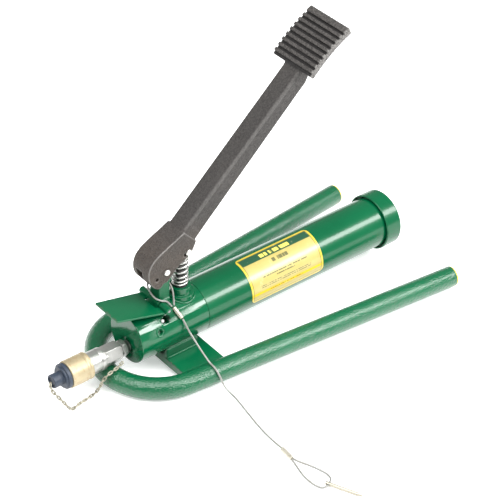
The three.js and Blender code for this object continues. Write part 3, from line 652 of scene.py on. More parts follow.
def moulded_plastic(name, dark, light):
    plastic = Finish(name, {"Subsurface Weight": 0.08, "Subsurface Scale": 0.002})
    cloud = plastic.noise(90, 3.0)
    scuff = plastic.noise(600, 4.0, 0.7).above(0.64, 0.05)
    clean = plastic.mix(cloud, dark, light)
    plastic.set("Base Color", plastic.mix(scuff * 0.35, clean, srgb(122, 108, 60)))
    plastic.set("Roughness", 0.42 + 0.2 * scuff + 0.1 * cloud)
    plastic.bump(plastic.noise(1800, 2.0), 0.00003)
    return plastic


yellow_plastic = moulded_plastic("yellow_plastic", srgb(214, 186, 40), srgb(238, 214, 70))
plug_profile = [
    (-18, 0), (-18, 12.4), (0.3, 12.4), (0.3, PLUG_FLANGE_R), (2.2, PLUG_FLANGE_R), (3, 14), (3, 0),
]
for side, name in SIDES:
    end, outwards = leg_point(side, LEG_END_X), leg_direction(side)
    plug = turned("leg_plug_" + name, plug_profile, end, outwards, edge=0.5)
    fit(plug, yellow_plastic, "end_plug_" + name)

# ---- cross plate and saddle ----
# A thick flat bar welded between the legs carries two strips that cradle the pump block. The
# welds are rippled beads, and all of it is enamelled together with the tube.
PLATE_X = (44, 111)
PLATE_Z = (9.3, 22)
PLATE_HALF = 78
SADDLE_X = (43, 100)
SADDLE_Y = (14, 33)
SADDLE_TOP = 37
WELD_STEP = 0.8
PLANES = {"XY": (0, 1, 2), "XZ": (0, 2, 1), "YZ": (1, 2, 0)}


def slab(name, outline, low, high, plane="XY", edge=0.8):
    """An outline in that plane, made thick from low to high, with its rims rounded over edge."""
    first, second, thick = PLANES[plane]

    def place(corner, height):
        point = [0.0, 0.0, 0.0]
        point[first], point[second], point[thick] = corner[0], corner[1], height
        return point

    count = len(outline)
    points = [place(corner, low) for corner in outline] + [place(corner, high) for corner in outline]
    faces = [tuple(range(count)), tuple(range(count, 2 * count))]
    faces += [(i, (i + 1) % count, count + (i + 1) % count, count + i) for i in range(count)]
    piece = solid(name, points, faces)

    def bevelled(work):
        rims = [rim for rim in work.edges if any(len(face.verts) == count for face in rim.link_faces)]
        bmesh.ops.bevel(work, geom=rims, offset=edge * MM, segments=3, profile=0.5, affect="EDGES")

    if edge:
        edited(piece.data, bevelled)
    return piece


def rectangle(x0, x1, y0, y1):
    return [(x0, y0), (x1, y0), (x1, y1), (x0, y1)]


def weld_bead(name, line, radius):
    """A rippled bead along a line, fading out at its ends."""
    ripples = round(length_of(line) / (2.6 * MM))

    def reach(share, angle):
        end = min(1.0, 12 * min(share, 1 - share) + 0.35)
        return radius * end * (1 + 0.13 * math.sin(2 * math.pi * ripples * share + math.cos(angle)))

    return sweep(name, line, reach, sides=16)


def joined(name, pieces):
    """Several meshes as one piece."""
    work = bmesh.new()
    for piece in pieces:
        work.from_mesh(piece.data)
    mesh = bpy.data.meshes.new(name)
    work.to_mesh(mesh)
    work.free()
    for piece in pieces:
        bpy.data.objects.remove(piece)
    return shown(name, mesh)


plate_enamel = enamel("plate_enamel", 480, 0.0001, 0.3, [("X", PLATE_X[0], 1.0)])
plate_outline = eased(rectangle(*PLATE_X, -PLATE_HALF, PLATE_HALF), 2, closed=True)
cross_plate = slab("cross_bar", plate_outline, *PLATE_Z, edge=1.2)
fit(cross_plate, plate_enamel, "cross_plate")

for side, name in SIDES:
    y0, y1 = sorted((side * SADDLE_Y[0], side * SADDLE_Y[1]))
    strip_outline = eased(rectangle(*SADDLE_X, y0, y1), 5, closed=True)
    strip = slab("saddle_rail_" + name, strip_outline, PLATE_Z[1] + 0.2, SADDLE_TOP, edge=1.5)
    body_tool = drill((-5, 0, BODY_Z), (125, 0, BODY_Z), BODY_R + 0.3, sides=96)
    worked(strip, "DIFFERENCE", body_tool)
    fit(strip, plate_enamel, "saddle_strip_" + name)

beads = []
for side in (1, -1):
    for height in PLATE_Z:
        across = math.sqrt(TUBE_R**2 - (height - TUBE_R) ** 2) + 0.4
        drop = Vector((0, side * across, TUBE_R - height))
        line = [leg_point(side, PLATE_X[0] + 4 + i * WELD_STEP) - drop for i in range(74)]
        beads.append(weld_bead("bead", line, 2.4))
    top_y = math.sqrt(BODY_R**2 - (BODY_Z - SADDLE_TOP) ** 2)
    for start, count, y, z, radius in (
        (2, 68, SADDLE_Y[1] + 0.2, PLATE_Z[1] + 0.5, 2.0),
        (3, 64, top_y + 0.6, SADDLE_TOP + 0.3, 1.5),
    ):
        line = [Vector((SADDLE_X[0] + start + i * WELD_STEP, side * y, z)) for i in range(count)]
        beads.append(weld_bead("bead", line, radius))
weld_beads = joined("frame_welds", beads)
fit(weld_beads, plate_enamel, sharp=80)

# ---- pump block ----
# A round steel block, bored for the plunger, the ports and the valves. It has a turned face,
# a relief valve plug low on its side and a bleed screw higher up, and green enamel over it all.
BLOCK_END = 116
PORT_Z = 46.3
PLUNGER_X = 92
RELIEF_X, RELIEF_ANGLE = 32.5, 25
BLEED_X, BLEED_STEM_X, BLEED_ANGLE = 49, 42.5, 45
RELEASE_ROD_X = 14
BODY_LINE = ((0, 0, BODY_Z), (1, 0, 0))
PORT_LINE = ((0, 0, PORT_Z), (1, 0, 0))
PLUNGER_LINE = ((PLUNGER_X, 0, 0), (0, 0, 1))

block_profile = [
    (0, 0), (0, 37.3), (0.8, BODY_R), (BLOCK_END - 0.4, BODY_R), (BLOCK_END, 37.6), (BLOCK_END, 0),
]
block = turned("painted_block", block_profile, *BODY_LINE, edge=0.8, sides=160)
worked(
    block, "DIFFERENCE",
    drill((-1, 0, PORT_Z), (1.4, 0, PORT_Z), 14.5),
    drill((-1, 0, PORT_Z), (18, 0, PORT_Z), 7.3),
    drill((PLUNGER_X, 0, 66), (PLUNGER_X, 0, 120), 7.5),
    drill((RELEASE_ROD_X, 0, 84), (RELEASE_ROD_X, 0, 120), 6.5),
    drill(radial(RELIEF_X, RELIEF_ANGLE, 30), radial(RELIEF_X, RELIEF_ANGLE, 45), 7.4),
    drill(radial(BLEED_X, BLEED_ANGLE, 16), radial(BLEED_X, BLEED_ANGLE, 45), 6.2),
    drill(radial(BLEED_STEM_X, BLEED_ANGLE, 24), radial(BLEED_STEM_X, BLEED_ANGLE, 45), 4.2),
)
body_enamel = enamel("body_enamel", 260, 0.00004, 0.14, gloss=0.4)
fit(block, body_enamel, "pump_block")

plug_low = radial(RELIEF_X, RELIEF_ANGLE, 31)
plug_axis = radial(RELIEF_X, RELIEF_ANGLE, 1) - radial(RELIEF_X, RELIEF_ANGLE, 0)
relief_plug = turned("relief_screw", plain(0, 7.2, 7), plug_low, plug_axis, edge=0.7)
socket_tool = drill(plug_low + 3 * plug_axis, plug_low + 10 * plug_axis, 3.6, sides=6)
worked(relief_plug, "DIFFERENCE", socket_tool)
fit(relief_plug, body_enamel, "relief_plug")

stem_low = radial(BLEED_STEM_X, BLEED_ANGLE, 24.5)
stem_axis = radial(BLEED_STEM_X, BLEED_ANGLE, 1) - radial(BLEED_STEM_X, BLEED_ANGLE, 0)
stem_profile = [(0, 0), (0, 3.2), (11.5, 3.2), (12.2, 2.4), (12.2, 0)]
bleed_stem = turned("bleed_screw", stem_profile, stem_low, stem_axis, edge=0.6, sides=40)
bright_steel = metal(
    "bright_steel", srgb(150, 150, 146), srgb(202, 202, 198), 0.34, (900, 40, 40), 0.000004,
)
stem_steel = metal("stem_steel", srgb(96, 98, 96), srgb(140, 142, 140), 0.42, (500, 500, 500))
fit(bleed_stem, stem_steel, "bleed_stem")

# ---- reservoir ----
# A length of steel tube slipped over the block's spigot, closed at the back by a turned cap
# that a long tie rod and its nut pull up tight. The cap stands a little proud of the tube.
TUBE_START = BLOCK_END + 0.3
TUBE_END = 470
CAP_X = (449.5, 478)
CAP_R = 43.1
CAP_LIP_R = 40.6
TIE_ROD_R = 4

shell_section = plain(TUBE_START, TUBE_END, BODY_R, 35)
shell = turned("reservoir_shell", shell_section, *BODY_LINE, edge=0.5, sides=160)
shell_enamel = enamel("shell_enamel", 260, 0.00008, 0.24, gloss=0.18)
fit(shell, shell_enamel, "reservoir_tube")

cap_profile = [
    (CAP_X[0], CAP_LIP_R), (CAP_X[0], CAP_R - 0.9), (CAP_X[0] + 0.9, CAP_R), (CAP_X[1] - 2, CAP_R),
    (CAP_X[1], CAP_R - 2), (CAP_X[1], 5), (TUBE_END + 0.5, 5), (TUBE_END + 0.5, 38.6),
    (456, 38.6), (456, CAP_LIP_R),
]
cap = turned("rear_cap", cap_profile, *BODY_LINE, edge=0.9, sides=160)
FILLER_Z = BODY_Z + 22
worked(cap, "DIFFERENCE", drill((TUBE_END - 1, 0, FILLER_Z), (CAP_X[1] + 1, 0, FILLER_Z), 6.3))
cap_enamel = enamel("cap_enamel", 300, 0.00007, 0.26, [("X", CAP_X[1], 1.4)])
fit(cap, cap_enamel, "reservoir_cap")


def hexagon(name, x0, x1, z, across_flats, chamfer=0.12):
    """A hexagon bar along X with its corners turned off at both ends."""
    corner = across_flats / math.sqrt(3)
    outline = []
    for angle in circle(6):
        outline.append((corner * math.cos(angle), z + corner * math.sin(angle)))
    piece = slab(name, eased(outline, 0.5, closed=True), x0, x1, "YZ", edge=0)
    slope = chamfer * across_flats
    profile = [(x0 - 1, 0), (x0 - 1, across_flats / 2 - 2), (x0 + slope, corner + 0.4)]
    profile += [(x1 - slope, corner + 0.4), (x1 + 1, across_flats / 2 - 2), (x1 + 1, 0)]
    return worked(piece, "INTERSECT", turned("chamfer", profile, (0, 0, z), (1, 0, 0), sides=96))


plain_steel = metal(
    "plain_steel", srgb(132, 133, 133), srgb(176, 177, 178), 0.36, (500, 500, 500), slot="plain_steel",
)
nut = hexagon("tie_nut", CAP_X[1] + 0.3, CAP_X[1] + 7, BODY_Z, 14)
worked(nut, "DIFFERENCE", drill((CAP_X[1] - 1, 0, BODY_Z), (CAP_X[1] + 9, 0, BODY_Z), TIE_ROD_R + 0.2))
fit(nut, plain_steel, "tie_rod_nut", sharp=25)
rod = turned("tie_bar", plain(112.5, CAP_X[1] + 8, TIE_ROD_R), *BODY_LINE, edge=0.6, sides=40)
fit(rod, plain_steel, "tie_rod")
shank_profile = plain(TUBE_END + 1, CAP_X[1] + 1, 5.8)
shank = turned("shank", shank_profile, (0, 0, FILLER_Z), (1, 0, 0), sides=40)
filler = worked(hexagon("filler_screw", CAP_X[1] + 0.3, CAP_X[1] + 7, FILLER_Z, 16), "UNION", shank)
fit(filler, plain_steel, "filler_plug", sharp=25)

# ---- label ----
# A printed film stuck round the side of the reservoir: a yellow ground inside a thin dark
# border, a green heading band at the top and rows of small print, shown here as plain bars.
LABEL_X = (193, 326)
LABEL_ANGLES = (-15, 100)
LABEL_R = BODY_R + 0.3
LABEL_CORNER = 7
LABEL_MARGIN = 4.2
LABEL_RULE = 1.1
LABEL_ARC = math.radians(LABEL_ANGLES[1] - LABEL_ANGLES[0]) * LABEL_R


def label_film():
    """The film's print, laid out in mm across from its front edge and up from its lower edge."""
    film = Finish("label_film", {"Coat Weight": 0.3, "Coat Roughness": 0.16})
    to_mm = 1 / MM
    across = film.axis("X") * to_mm - (FRONT_X * to_mm + LABEL_X[0])
    height = film.axis("Z") - BODY_Z * MM
    angle = film.node("ShaderNodeMath", {"operation": "ARCTAN2"}, {0: height, 1: 0.0 - film.axis("Y")})
    up = (angle - math.radians(LABEL_ANGLES[0])) * LABEL_R

    def patch(left, right, low, high):
        """1 inside that rectangle of the film."""
        inside_across = (right - left) / 2 - abs(across - (left + right) / 2)
        inside_up = (high - low) / 2 - abs(up - (low + high) / 2)
        return inside_across.least(inside_up).above(0.0, 0.14)

    def words(left, right, low, high, size, seed):
        """A row of plain bars with the gaps of words in a line of print."""
        line = film.node("ShaderNodeCombineXYZ", None, {0: across * (1 / size), 1: seed})
        gaps = film.noise(1.0, 1.0, 0.5, line).above(0.44, 0.03)
        return patch(LABEL_MARGIN + left, LABEL_MARGIN + right, low, high) * gaps

    left, right = LABEL_MARGIN, LABEL_X[1] - LABEL_X[0] - LABEL_MARGIN
    foot, head = LABEL_MARGIN, LABEL_ARC - LABEL_MARGIN
    rows = [
        (47, 76, head - 24, head - 18, 6.0, 9.4), (18, 102, 33.5, 35.3, 3.2, 3.1),
        (44, 78, 29.5, 31.2, 2.6, 5.9), (14, 106, 22.4, 23.6, 2.2, 8.3),
        (14, 106, 19.8, 21.0, 2.2, 11.4), (30, 90, foot + 8.3, foot + 9.7, 2.4, 13.8),
    ]
    cloud = film.noise(45, 3.0)
    ground = film.mix(cloud, srgb(170, 154, 84), srgb(180, 166, 100))
    edge = patch(left, right, foot, head)
    colour = film.mix(edge, film.mix(cloud, srgb(196, 170, 44), srgb(206, 182, 60)), ground)
    border = patch(left - LABEL_RULE, right + LABEL_RULE, foot - LABEL_RULE, head + LABEL_RULE) - edge
    colour = film.mix(border * 0.8, colour, srgb(64, 72, 36))
    colour = film.mix(patch(left, right, foot + 7, foot + 11), colour, srgb(214, 178, 20))
    colour = film.mix(patch(left, right, head - 13, head), colour, srgb(28, 74, 50))
    heading = words(34, 88, head - 10.5, head - 4, 6.0, 4.6)
    colour = film.mix(heading, colour, srgb(228, 210, 96))
    ink = words(*rows[0])
    for row in rows[1:]:
        ink = ink.most(words(*row))
    colour = film.mix(ink * 0.8, colour, srgb(48, 62, 36))
    rubbed = film.noise(110, 5.0, 0.7).above(0.66, 0.06)
    colour = film.mix(rubbed * 0.3, colour, srgb(222, 214, 176))
    film.set("Base Color", colour)
    film.set("Roughness", 0.3 + 0.1 * cloud + 0.2 * rubbed)
    film.bump(film.noise(150, 3.0) + 0.4 * ink, 0.00004)
    return film


def label_sheet():
    """The film as a fine grid bent round the reservoir, with its corners rounded off."""
    columns, rows = 140, 48
    width = LABEL_X[1] - LABEL_X[0]
    points = []
    for i in range(columns + 1):
        x = width * 0.5 * (1 - math.cos(math.pi * i / columns))
        from_end = max(0.0, LABEL_CORNER - min(x, width - x))
        inset = LABEL_CORNER - math.sqrt(max(0.0, LABEL_CORNER**2 - from_end**2))
        for j in range(rows + 1):
            arc = inset + (LABEL_ARC - 2 * inset) * j / rows
            degrees = LABEL_ANGLES[0] + math.degrees(arc / LABEL_R)
            points.append(radial(LABEL_X[0] + x, degrees, LABEL_R))
    faces = []
    for i in range(columns):
        for j in range(rows):
            a = i * (rows + 1) + j
            faces.append((a, a + rows + 1, a + rows + 2, a + 1))
    sheet = solid("label_sheet", points, faces)
    film = sheet.modifiers.new("film", "SOLIDIFY")
    film.thickness = 0.3 * MM
    film.offset = 0.0
    return settled(sheet)


fit(label_sheet(), label_film(), "name_label")

# ---- plunger gland and return spring ----
# A turned gland on top of the block guides the plunger, with a rubber wiper in its mouth. The
# pedal drives the plunger down, and the coil spring under the plunger's washer lifts it again.
GLAND_TOP = 112.5
GLAND_R = 15.6
COLLAR_R = 20
COLLAR_TOP = 101.5
PLUNGER_R = 7
PIN_Z = 177.5
WASHER_Z = 165.3
SPRING_R = 10.3
SPRING_WIRE = 1.35
SPRING_TURNS = 7.5

gland_profile = [
    (78, 7.6), (78, COLLAR_R), (COLLAR_TOP, COLLAR_R), (COLLAR_TOP, GLAND_R), (GLAND_TOP, GLAND_R),
    (GLAND_TOP, 10.2), (108.2, 10.2), (108.2, 7.6),
]
gland = turned("gland_nut", gland_profile, *PLUNGER_LINE, edge=1.0, sides=96)
collar_line = []
for angle in circle(120):
    y = (COLLAR_R + 0.6) * math.sin(angle)
    z = BODY_Z + math.sqrt(BODY_R**2 - y**2) + 0.3
    collar_line.append(Vector((PLUNGER_X + (COLLAR_R + 0.6) * math.cos(angle), y, z)))
collar_bead = sweep("collar_bead", collar_line, 1.6, sides=14, closed=True)
gland = joined("plunger_housing", [gland, collar_bead])
fit(gland, body_enamel, "plunger_gland")


def moulded_rubber(name, dark, light, roughness=0.6):
    rubber = Finish(name, {"Specular IOR Level": 0.4})
    cloud = rubber.noise(120, 3.0)
    bloom = rubber.noise(320, 4.0, 0.7).above(0.6, 0.1)
    clean = rubber.mix(cloud, dark, light)
    rubber.set("Base Color", rubber.mix(bloom * 0.25, clean, srgb(100, 108, 118)))
    rubber.set("Roughness", roughness + 0.2 * (cloud - 0.5) + 0.1 * bloom)
    rubber.bump(rubber.noise(1400, 3.0), 0.00005)
    return rubber


black_rubber = moulded_rubber("black_rubber", srgb(22, 22, 22), srgb(40, 40, 39))
wiper_profile = [(108.4, 7.3), (108.4, 10), (112.4, 10), (113.2, 7.3)]
wiper = turned("wiper_ring", wiper_profile, *PLUNGER_LINE, edge=0.5)
fit(wiper, black_rubber, "gland_wiper")

plunger_profile = [
    (66, 0), (66, PLUNGER_R), (WASHER_Z + 2.8, PLUNGER_R), (WASHER_Z + 2.8, 9.2), (WASHER_Z + 5, 9.2),
    (WASHER_Z + 5, PLUNGER_R), (184, PLUNGER_R), (186, 5), (186, 0),
]
plunger = turned("ground_plunger", plunger_profile, *PLUNGER_LINE, edge=0.5, sides=64)
worked(plunger, "DIFFERENCE", drill((PLUNGER_X, -12, PIN_Z), (PLUNGER_X, 12, PIN_Z), 3.2))
upright_steel = metal("upright_steel", srgb(180, 180, 176), srgb(228, 228, 224), 0.2, (60, 60, 2200))
# Painted shade: the plunger's steel is made near black to stand for the shade inside the return spring.
shade_dark_steel = metal("shade_dark_steel", srgb(58, 58, 56), srgb(84, 84, 82), 0.3, (60, 60, 2200))
fit(plunger, shade_dark_steel, "plunger", body="plunger")
washer = turned("spring_seat", plain(WASHER_Z, WASHER_Z + 2.5, 11.8, 7.4), *PLUNGER_LINE, edge=0.5)
fit(washer, upright_steel, "spring_washer", body="plunger")


def coil(name, x, low, high, radius, wire, turns, sides=14):
    """A compression spring about an upright axis, its end turns closed up flat."""
    steps = round(turns * 36)
    line = []
    for step in range(steps + 1):
        share = step / steps
        angle = 2 * math.pi * turns * share
        rise = share - math.sin(2 * math.pi * share) * 0.055
        z = low + wire + (high - low - 2 * wire) * rise
        line.append(Vector((x + radius * math.cos(angle), radius * math.sin(angle), z)))
    return sweep(name, line, wire, sides=sides)


spring_low = GLAND_TOP + 0.3
spring_high = WASHER_Z - 0.3
spring = coil("pedal_spring", PLUNGER_X, spring_low, spring_high, SPRING_R, SPRING_WIRE, SPRING_TURNS)
fit(spring, upright_steel, "return_spring", sharp=60)
metres((PLUNGER_X, 0, spring_low))
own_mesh(spring)

# ---- pedal post and cross pins ----
# A cast post welded on the block stands between the pedal's ears. Steel pins with a turned
# head on one side and a spring clip on the other hold the pedal to it and to the plunger.
PIVOT_X = 55
PIVOT_Z = 160
PIVOT_R = 3.6
PLUNGER_PIN_R = 3
POST_HALF = 10.5
EAR_INNER = 12.5
EAR_OUTER = 18.5
HINGE_X = 50
HINGE_Z = 102.3
HINGE_LINE = ((HINGE_X, 0, HINGE_Z), (0, 1, 0))


def cast(piece, voxel, passes):
    """Gives a piece the soft corners and fillets of a casting."""
    remesh = piece.modifiers.new("cast", "REMESH")
    remesh.mode = "VOXEL"
    remesh.voxel_size = voxel * MM
    ease = piece.modifiers.new("ease", "SMOOTH")
    ease.factor = 0.5
    ease.iterations = passes
    return settled(piece)


def arc(centre_x, centre_z, radius, start, end, steps=24):
    """Points of an arc, from one angle to another in degrees."""
    points = []
    for step in range(steps + 1):
        angle = math.radians(start + (end - start) * step / steps)
        points.append((centre_x + radius * math.cos(angle), centre_z + radius * math.sin(angle)))
    return points


post_outline = [(48, 86), (48, 156), (38.5, 158), (38.5, PIVOT_Z + 2.2), (43.4, PIVOT_Z + 2.2)]
post_outline += arc(PIVOT_X, PIVOT_Z, 11.8, 169, 0)
post_outline += [(66, 86)]
post = slab("cast_post", post_outline, -POST_HALF, POST_HALF, "XZ", edge=0)
foot = slab("foot", rectangle(43.5, 66, -EAR_INNER, EAR_INNER), 86, 108, edge=0)
worked(post, "UNION", foot)
cast(post, 0.9, 5)
castings = [post]
bead_z = BODY_Z + math.sqrt(BODY_R**2 - EAR_INNER**2) + 0.4
for y in (EAR_INNER + 0.5, -EAR_INNER - 0.5):
    bead_line = [Vector((42.5 + i * WELD_STEP, y, bead_z)) for i in range(31)]
    castings.append(weld_bead("bead", bead_line, 2.0))
post = joined("pedal_stand", castings)
post_enamel = enamel("post_enamel", 420, 0.00014, 0.34)
fit(post, post_enamel, "pedal_post", sharp=80)


def cross_pin(name, x, z, radius, body, node):
    """A pin across the ears: its head is towards -Y and its clip groove at the other end."""
    profile = [
        (-21.2, 0), (-21.2, 3.6), (-20.3, 4.75), (-18.9, 4.75), (-18.9, radius), (19.2, radius),
        (19.2, radius - 1), (20.4, radius - 1), (20.4, radius), (22, radius), (22, 0),
    ]
    pin = turned(name, profile, (x, 0, z), (0, 1, 0), edge=0.4, sides=48)
    fit(pin, cross_steel, node, body=body)
    ring = plain(19.4, 20.2, radius + 2.4, radius - 0.7)
    clip = turned(name + "_ring", ring, (x, 0, z), (0, 1, 0), edge=0.2, sides=48)
    opening = slab("opening", rectangle(x - 1.1, x + 1.1, z - radius - 4, z), 18, 22, "XZ", edge=0)
    worked(clip, "DIFFERENCE", opening)
    fit(clip, plain_steel, node + "_clip", body=body, sharp=25)


cross_steel = metal("cross_steel", srgb(186, 184, 178), srgb(232, 230, 224), 0.26, (500, 60, 500))
cross_pin("pedal_pivot_pin", PIVOT_X, PIVOT_Z, PIVOT_R, "pump_body", "pivot_pin")
cross_pin("plunger_cross_pin", PLUNGER_X, PIN_Z, PLUNGER_PIN_R, "plunger", "plunger_pin")

# ---- foot pedal ----
# One iron casting, left bare: a forked yoke that straddles the post, a channel-shaped arm and a
# crowned tread with square ribs. The skin is rough from the sand, polished where feet rub it. Its
# edges are painted lighter, part wear and part painted highlight, and the grooves between the ribs
# are painted dark as painted shade.
ARM_LOW = Vector((85, 213.4))
ARM_HIGH = Vector((276, 391))
ARM_HALF = 16.25
ARM_INNER = 10.25
ARM_WEB = 6
ARM_DEPTH = (31, 26)
FLUTE = (4.2, 45)
FLUTE_DEPTH = 1.1
TREAD_LOW = Vector((277, 399.5))
TREAD_HIGH = Vector((345, 450.8))
TREAD_RISE = 4.1
TREAD_HALF = 39.6
TREAD_SHELF = 0.055  # share of the tread below its first rib
TREAD_RIBS = 9
TOP_RIB = 0.125  # share that the wide last rib takes
TREAD_PLATE = 8
RIB_HEIGHT = 3.2
arm_run = (ARM_HIGH - ARM_LOW).normalized()
arm_inward = Vector((arm_run.y, -arm_run.x))


def flat_route(points, steps=6):
    """A smooth outline through points of a plane."""
    return [(point.x, point.y) for point in route([(a, b, 0) for a, b in points], steps)]


def arm_point(corner, inward, forward=0.0):
    return tuple(corner + inward * arm_inward + forward * arm_run)


yoke_rear = [
    ARM_LOW, (72, 207), (54, 198.7), (36, 188.5), (27.5, 178.5), (24.5, 166), (26.5, 154),
    (32, 144.5), (38.5, 138.3), (43.5, 136.6), (47.5, 139), (51, 142.5), (56, 142.8), (61, 146),
]
yoke_outline = flat_route(yoke_rear) + eased([(71, 157), (80, 163.5), (97, 171), (106.1, 190.7)], 10)
hollow_rear = [
    (100, 219.5), (92, 212.5), (78, 204), (58, 194), (41, 185), (33, 177), (30, 166), (32, 155.5),
    (38, 147),
]
hollow_outline = flat_route(hollow_rear) + [(47, 125), (140, 125), (140, 219.5)]
arm_outline = [
    arm_point(ARM_LOW, 0, -6), tuple(ARM_HIGH), (294, 413), (309, 403),
    arm_point(ARM_HIGH, ARM_DEPTH[1]), arm_point(ARM_LOW, ARM_DEPTH[0], -6),
]
channel_outline = [
    arm_point(ARM_LOW, ARM_WEB), arm_point(ARM_LOW, ARM_WEB + 3, -54), arm_point(ARM_LOW, 70, -54),
    arm_point(ARM_HIGH, 60, -11), arm_point(ARM_HIGH, ARM_WEB, -11),
]
# The flute is a shallow step along each side of the arm, just behind its front edge.
flute_corners = [
    arm_point(ARM_LOW, FLUTE[0], 12), arm_point(ARM_HIGH, FLUTE[0], -10),
    arm_point(ARM_HIGH, FLUTE[1], -10), arm_point(ARM_LOW, FLUTE[1], 12),
]
flute_outline = eased(flute_corners, 4, closed=True)

tread_chord = TREAD_HIGH - TREAD_LOW
tread_radius = tread_chord.length**2 / (8 * TREAD_RISE) + TREAD_RISE / 2
tread_half_angle = math.asin(tread_chord.length / (2 * tread_radius))
tread_normal = Vector((-tread_chord.y, tread_chord.x)).normalized()
tread_centre = (TREAD_LOW + TREAD_HIGH) / 2 + (TREAD_RISE - tread_radius) * tread_normal


def tread_point(share, depth):
    """A point of the tread's side view: share 0 is its low end, depth is below the rib tops."""
    angle = math.atan2(tread_normal.y, tread_normal.x) + tread_half_angle * (1 - 2 * share)
    radius = tread_radius - depth
    return (tread_centre.x + radius * math.cos(angle), tread_centre.y + radius * math.sin(angle))


def tread_plate():
    top = [tread_point(i / 24, RIB_HEIGHT) for i in range(25)]
    bottom = [tread_point(1 - i / 24, RIB_HEIGHT + TREAD_PLATE) for i in range(25)]
    return slab("tread_plate", top + bottom, -TREAD_HALF, TREAD_HALF, "XZ", edge=0)


def tread_rib(number):
    """One square rib across the tread, its edges broken as cast."""
    pitch = (1 - TREAD_SHELF - TOP_RIB) / (TREAD_RIBS - 1)
    start = TREAD_SHELF + number * pitch
    end = start + 0.64 * pitch if number < TREAD_RIBS - 1 else 1
    outline = [
        tread_point(start, RIB_HEIGHT + 1.5), tread_point(start + 0.05 * pitch, 0.1),
        tread_point(end - 0.05 * pitch, 0.1), tread_point(end, RIB_HEIGHT + 1.5),
    ]
    shape = eased(outline, 0.9, closed=True, steps=3)
    inset = 0.5 if number % 2 else 0.2
    return slab("rib", shape, -TREAD_HALF + inset, TREAD_HALF - inset, "XZ", edge=0.8)


def pin_slot():
    """The slot in the ears that the plunger's pin works in, aimed at the pivot."""
    reach = math.hypot(PLUNGER_X - PIVOT_X, PIN_Z - PIVOT_Z)
    tilt = math.atan2(PIN_Z - PIVOT_Z, PLUNGER_X - PIVOT_X)
    half = PLUNGER_PIN_R + 0.7
    shape = arc(reach + 0.4, 0, half, -90, 90) + arc(PLUNGER_X - PIVOT_X - 0.4, 0, half, 90, 270)
    cos, sin = math.cos(tilt), math.sin(tilt)
    turn = [(PIVOT_X + a * cos - b * sin, PIVOT_Z + a * sin + b * cos) for a, b in shape]
    return slab("slot", turn, -30, 30, "XZ", edge=0)


def cast_iron():
    iron = Finish("cast_iron", {"Specular IOR Level": 0.4})
    broad = iron.noise(22, 4.0, 0.6)
    sand = iron.noise(460, 4.0, 0.7)
    scale = iron.noise(420, 3.0, 0.65).above(0.5, 0.12)
    pits = iron.noise(380, 3.0, 0.6).above(0.58, 0.08)
    pointed = iron.node("ShaderNodeNewGeometry", output=7)
    on_tread = iron.axis("Z").above(TREAD_LOW.y * MM - 0.004, 0.002)
    across, up = iron.axis("X") - metres((tread_centre.x, 0, 0)).x, iron.axis("Z") - tread_centre.y * MM
    reach = iron.node("ShaderNodeMath", {"operation": "SQRT"}, {0: across * across + up * up})
    inside = 1 - abs(iron.axis("Y")).above((TREAD_HALF - 1.2) * MM, 0.4 * MM)
    # Painted shade: groove marks the hollows between the tread's ribs, which are painted near black for
    # the shade that falls in them.
    groove = (1 - reach.above((tread_radius - 1.6) * MM, 0.8 * MM)) * on_tread * inside
    # Edges are made lighter and more metallic: part real wear and part painted highlight along the
    # bevels. The rib ends are real wear.
    edges = pointed.above(0.525, 0.02) * (0.45 + 0.55 * sand) * (1 - on_tread)
    rib_ends = abs(iron.axis("Y")).above((TREAD_HALF - 2) * MM, 0.8 * MM) * on_tread
    low = 1 - iron.axis("Z").above(0.2, 0.03)
    skin = iron.mix(broad, srgb(41, 39, 38), srgb(63, 60, 58))
    skin = iron.mix(low * 0.6 * broad, skin, srgb(92, 76, 62))
    skin = iron.mix(scale * (0.22 + 0.3 * on_tread), skin, srgb(96, 93, 90))
    skin = iron.mix(pits * 0.4, skin, srgb(30, 28, 27))
    # Painted shade in the grooves between the ribs.
    skin = iron.mix(groove * 0.85, skin, srgb(22, 20, 20))
    polish_and_highlight = (edges * 0.8).most(rib_ends * sand.above(0.45, 0.1) * 0.6)
    iron.set("Base Color", iron.mix(polish_and_highlight * 0.8, skin, srgb(150, 148, 145)))
    iron.set("Roughness", 0.6 - 0.2 * polish_and_highlight + 0.1 * (sand - 0.5))
    iron.set("Metallic", 0.2 + 0.45 * polish_and_highlight)
    iron.bump(sand - 0.8 * pits + 0.4 * scale, 0.0006, 0.9)
    return iron


pedal = slab("pedal_casting", yoke_outline, -EAR_OUTER, EAR_OUTER, "XZ", edge=0)
worked(
    pedal, "UNION",
    slab("arm", arm_outline, -ARM_HALF, ARM_HALF, "XZ", edge=3.4),
    tread_plate(),
)
worked(
    pedal, "DIFFERENCE",
    slab("hollow", hollow_outline, -EAR_INNER, EAR_INNER, "XZ", edge=0),
    slab("channel", channel_outline, -ARM_INNER, ARM_INNER, "XZ", edge=0),
    slab("flute", flute_outline, ARM_HALF - FLUTE_DEPTH, ARM_HALF + 5, "XZ", edge=0),
    slab("flute", flute_outline, -ARM_HALF - 5, FLUTE_DEPTH - ARM_HALF, "XZ", edge=0),
    drill((PIVOT_X, -30, PIVOT_Z), (PIVOT_X, 30, PIVOT_Z), PIVOT_R + 0.3),
    drill((PIVOT_X - 15.8, -30, PIVOT_Z - 6.3), (PIVOT_X - 15.8, 30, PIVOT_Z - 6.3), 2.9),
    pin_slot(),
    slab("window", rectangle(15, 36, 149, 164), -2.5, 11, "XZ", edge=0),
)
cast(pedal, 1.0, 5)
pedal = joined("foot_pedal_casting", [pedal] + [tread_rib(number) for number in range(TREAD_RIBS)])
fit(pedal, cast_iron(), "foot_pedal", body="pedal", sharp=60)

